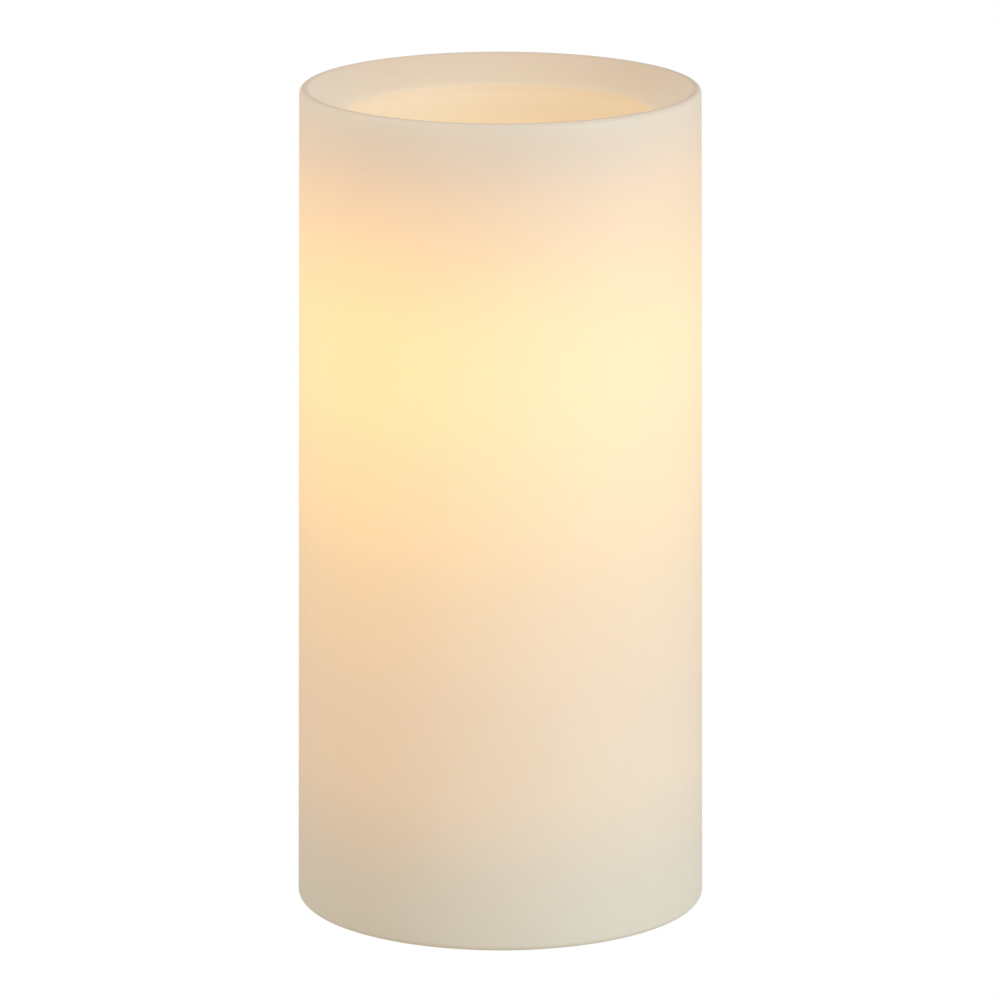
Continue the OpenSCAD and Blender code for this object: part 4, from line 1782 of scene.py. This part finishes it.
@dataclass(frozen=True)
class SoftBox:
    """A soft square lamp that points at the candle.

    Args:
        name: the lamp's name.
        place: its place.
        width: its side.
        power: its power in watts.
        colour: its colour.
    """

    name: str
    place: Point
    width: float
    power: float
    colour: Colour = WHITE

    def hang(self, target: Vector) -> None:
        """Adds the lamp, turned towards the target.

        Args:
            target: the point that it lights.
        """
        lamp = bpy.data.lights.new(self.name, "AREA")
        lamp.shape = "SQUARE"
        lamp.size = self.width
        lamp.energy = self.power
        lamp.color = self.colour
        holder = bpy.data.objects.new(self.name, lamp)
        holder.location = self.place
        holder.rotation_euler = (target - Vector(self.place)).to_track_quat("-Z", "Y").to_euler()
        holder.visible_camera = False
        bpy.context.scene.collection.objects.link(holder)


@dataclass
class Studio:
    """The white table, the soft lamps and the camera.

    Args:
        distance: from the camera to the candle's axis.
        pitch: how far the camera looks down, in degrees.
        lens: focal length in millimetres.
        sensor: width of the camera's sensor in millimetres.
        sight: how far the camera sees.
        aim: height that the camera looks at.
        aside: how far the aim is left of the candle's axis.
        table: side of the square table.
        table_drop: how far the table is under the feet.
        sky: brightness and colour of the light from all round.
        boxes: the soft lamps.
    """

    distance: float = 1.357
    pitch: float = 13.8
    lens: float = 262.5
    sensor: float = 36.0
    sight: float = 20.0
    aim: float = 76.9 * MM
    aside: float = 0.08 * MM
    table: float = 3.0
    table_drop: float = 0.1 * MM
    sky: Colour = (0.585, 0.545, 0.50)
    boxes: tuple[SoftBox, ...] = (
        SoftBox("Key light", (0.95, -0.75, 0.55), 0.8, 9.4, (0.66, 0.83, 1.0)),
        SoftBox("Fill light", (-0.225, -0.085, 0.25), 0.2, 0.20, (0.92, 0.97, 1.0)),
        SoftBox("Top light", (0.1, 0.2, 1.3), 0.7, 0.6),
    )

    def build(self) -> None:
        """Sets up the table, the light and the camera."""
        bpy.context.scene.view_settings.view_transform = "Standard"
        self.lay_table()
        self.light_sky()
        for box in self.boxes:
            box.hang(Vector((0.0, 0.0, self.aim)))
        self.set_camera()

    def lay_table(self) -> None:
        """Lays the white table just under the feet; from below it can't be seen."""
        half = self.table / 2
        corners = [(-half, -half), (half, -half), (half, half), (-half, half)]
        mesh = bpy.data.meshes.new("white_table")
        mesh.from_pydata([(x, y, -self.table_drop) for x, y in corners], [], [(0, 1, 2, 3)])
        table = add_object("white_table", mesh)
        material = bpy.data.materials.new("table_white")
        material.use_nodes = True
        g = Graph(material.node_tree)
        g.clear()
        seen = g.node("ShaderNodeLightPath", None, None, "Is Camera Ray")
        above = 1 - g.node("ShaderNodeNewGeometry", None, None, "Backfacing")
        clear = g.node("ShaderNodeBsdfTransparent")
        white = g.node("ShaderNodeEmission", None, {"Color": WHITE, "Strength": 1.0})
        choice = g.node("ShaderNodeMixShader", None, {0: seen * above, 1: clear, 2: white})
        g.raw("ShaderNodeOutputMaterial", None, {0: choice})
        dress(table, material)

    def light_sky(self) -> None:
        """Makes the surroundings white to look at and softer as a light."""
        world = bpy.data.worlds.new("White surroundings")
        bpy.context.scene.world = world
        world.use_nodes = True
        g = Graph(world.node_tree)
        g.clear()
        seen = g.node("ShaderNodeLightPath", None, None, "Is Camera Ray")
        colour = g.mix(seen, self.sky, WHITE)
        glow = g.node("ShaderNodeBackground", None, {"Color": colour})
        g.raw("ShaderNodeOutputWorld", None, {0: glow})

    def set_camera(self) -> None:
        """Sets the camera in front, looking down a little."""
        camera = bpy.data.cameras.new("Camera")
        camera.lens = self.lens
        camera.sensor_width = self.sensor
        camera.clip_end = self.sight
        holder = bpy.data.objects.new("Camera", camera)
        down = math.radians(self.pitch)
        holder.location = (
            -self.aside, -self.distance * math.cos(down), self.aim + self.distance * math.sin(down)
        )
        holder.rotation_euler = (math.pi / 2 - down, 0.0, 0.0)
        bpy.context.scene.collection.objects.link(holder)
        bpy.context.scene.camera = holder


def main() -> None:
    """Builds the candle's sub-assemblies and the studio."""
    logging.basicConfig(level=logging.INFO, format="%(name)s: %(message)s")
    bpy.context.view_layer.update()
    plastic = MouldedPlastic("ivory_abs", (0.86, 0.82, 0.73), 0.46, 0.02 * MM).make()
    for part in (
        WaxPillar(), BaseUnit(plastic), BatteryDoor(plastic), PowerPack(), SlideSwitch(),
        TimerBoard(), LightTower(), Wiring(), Studio(),
    ):
        part.build()


if __name__ == "__main__":
    main()
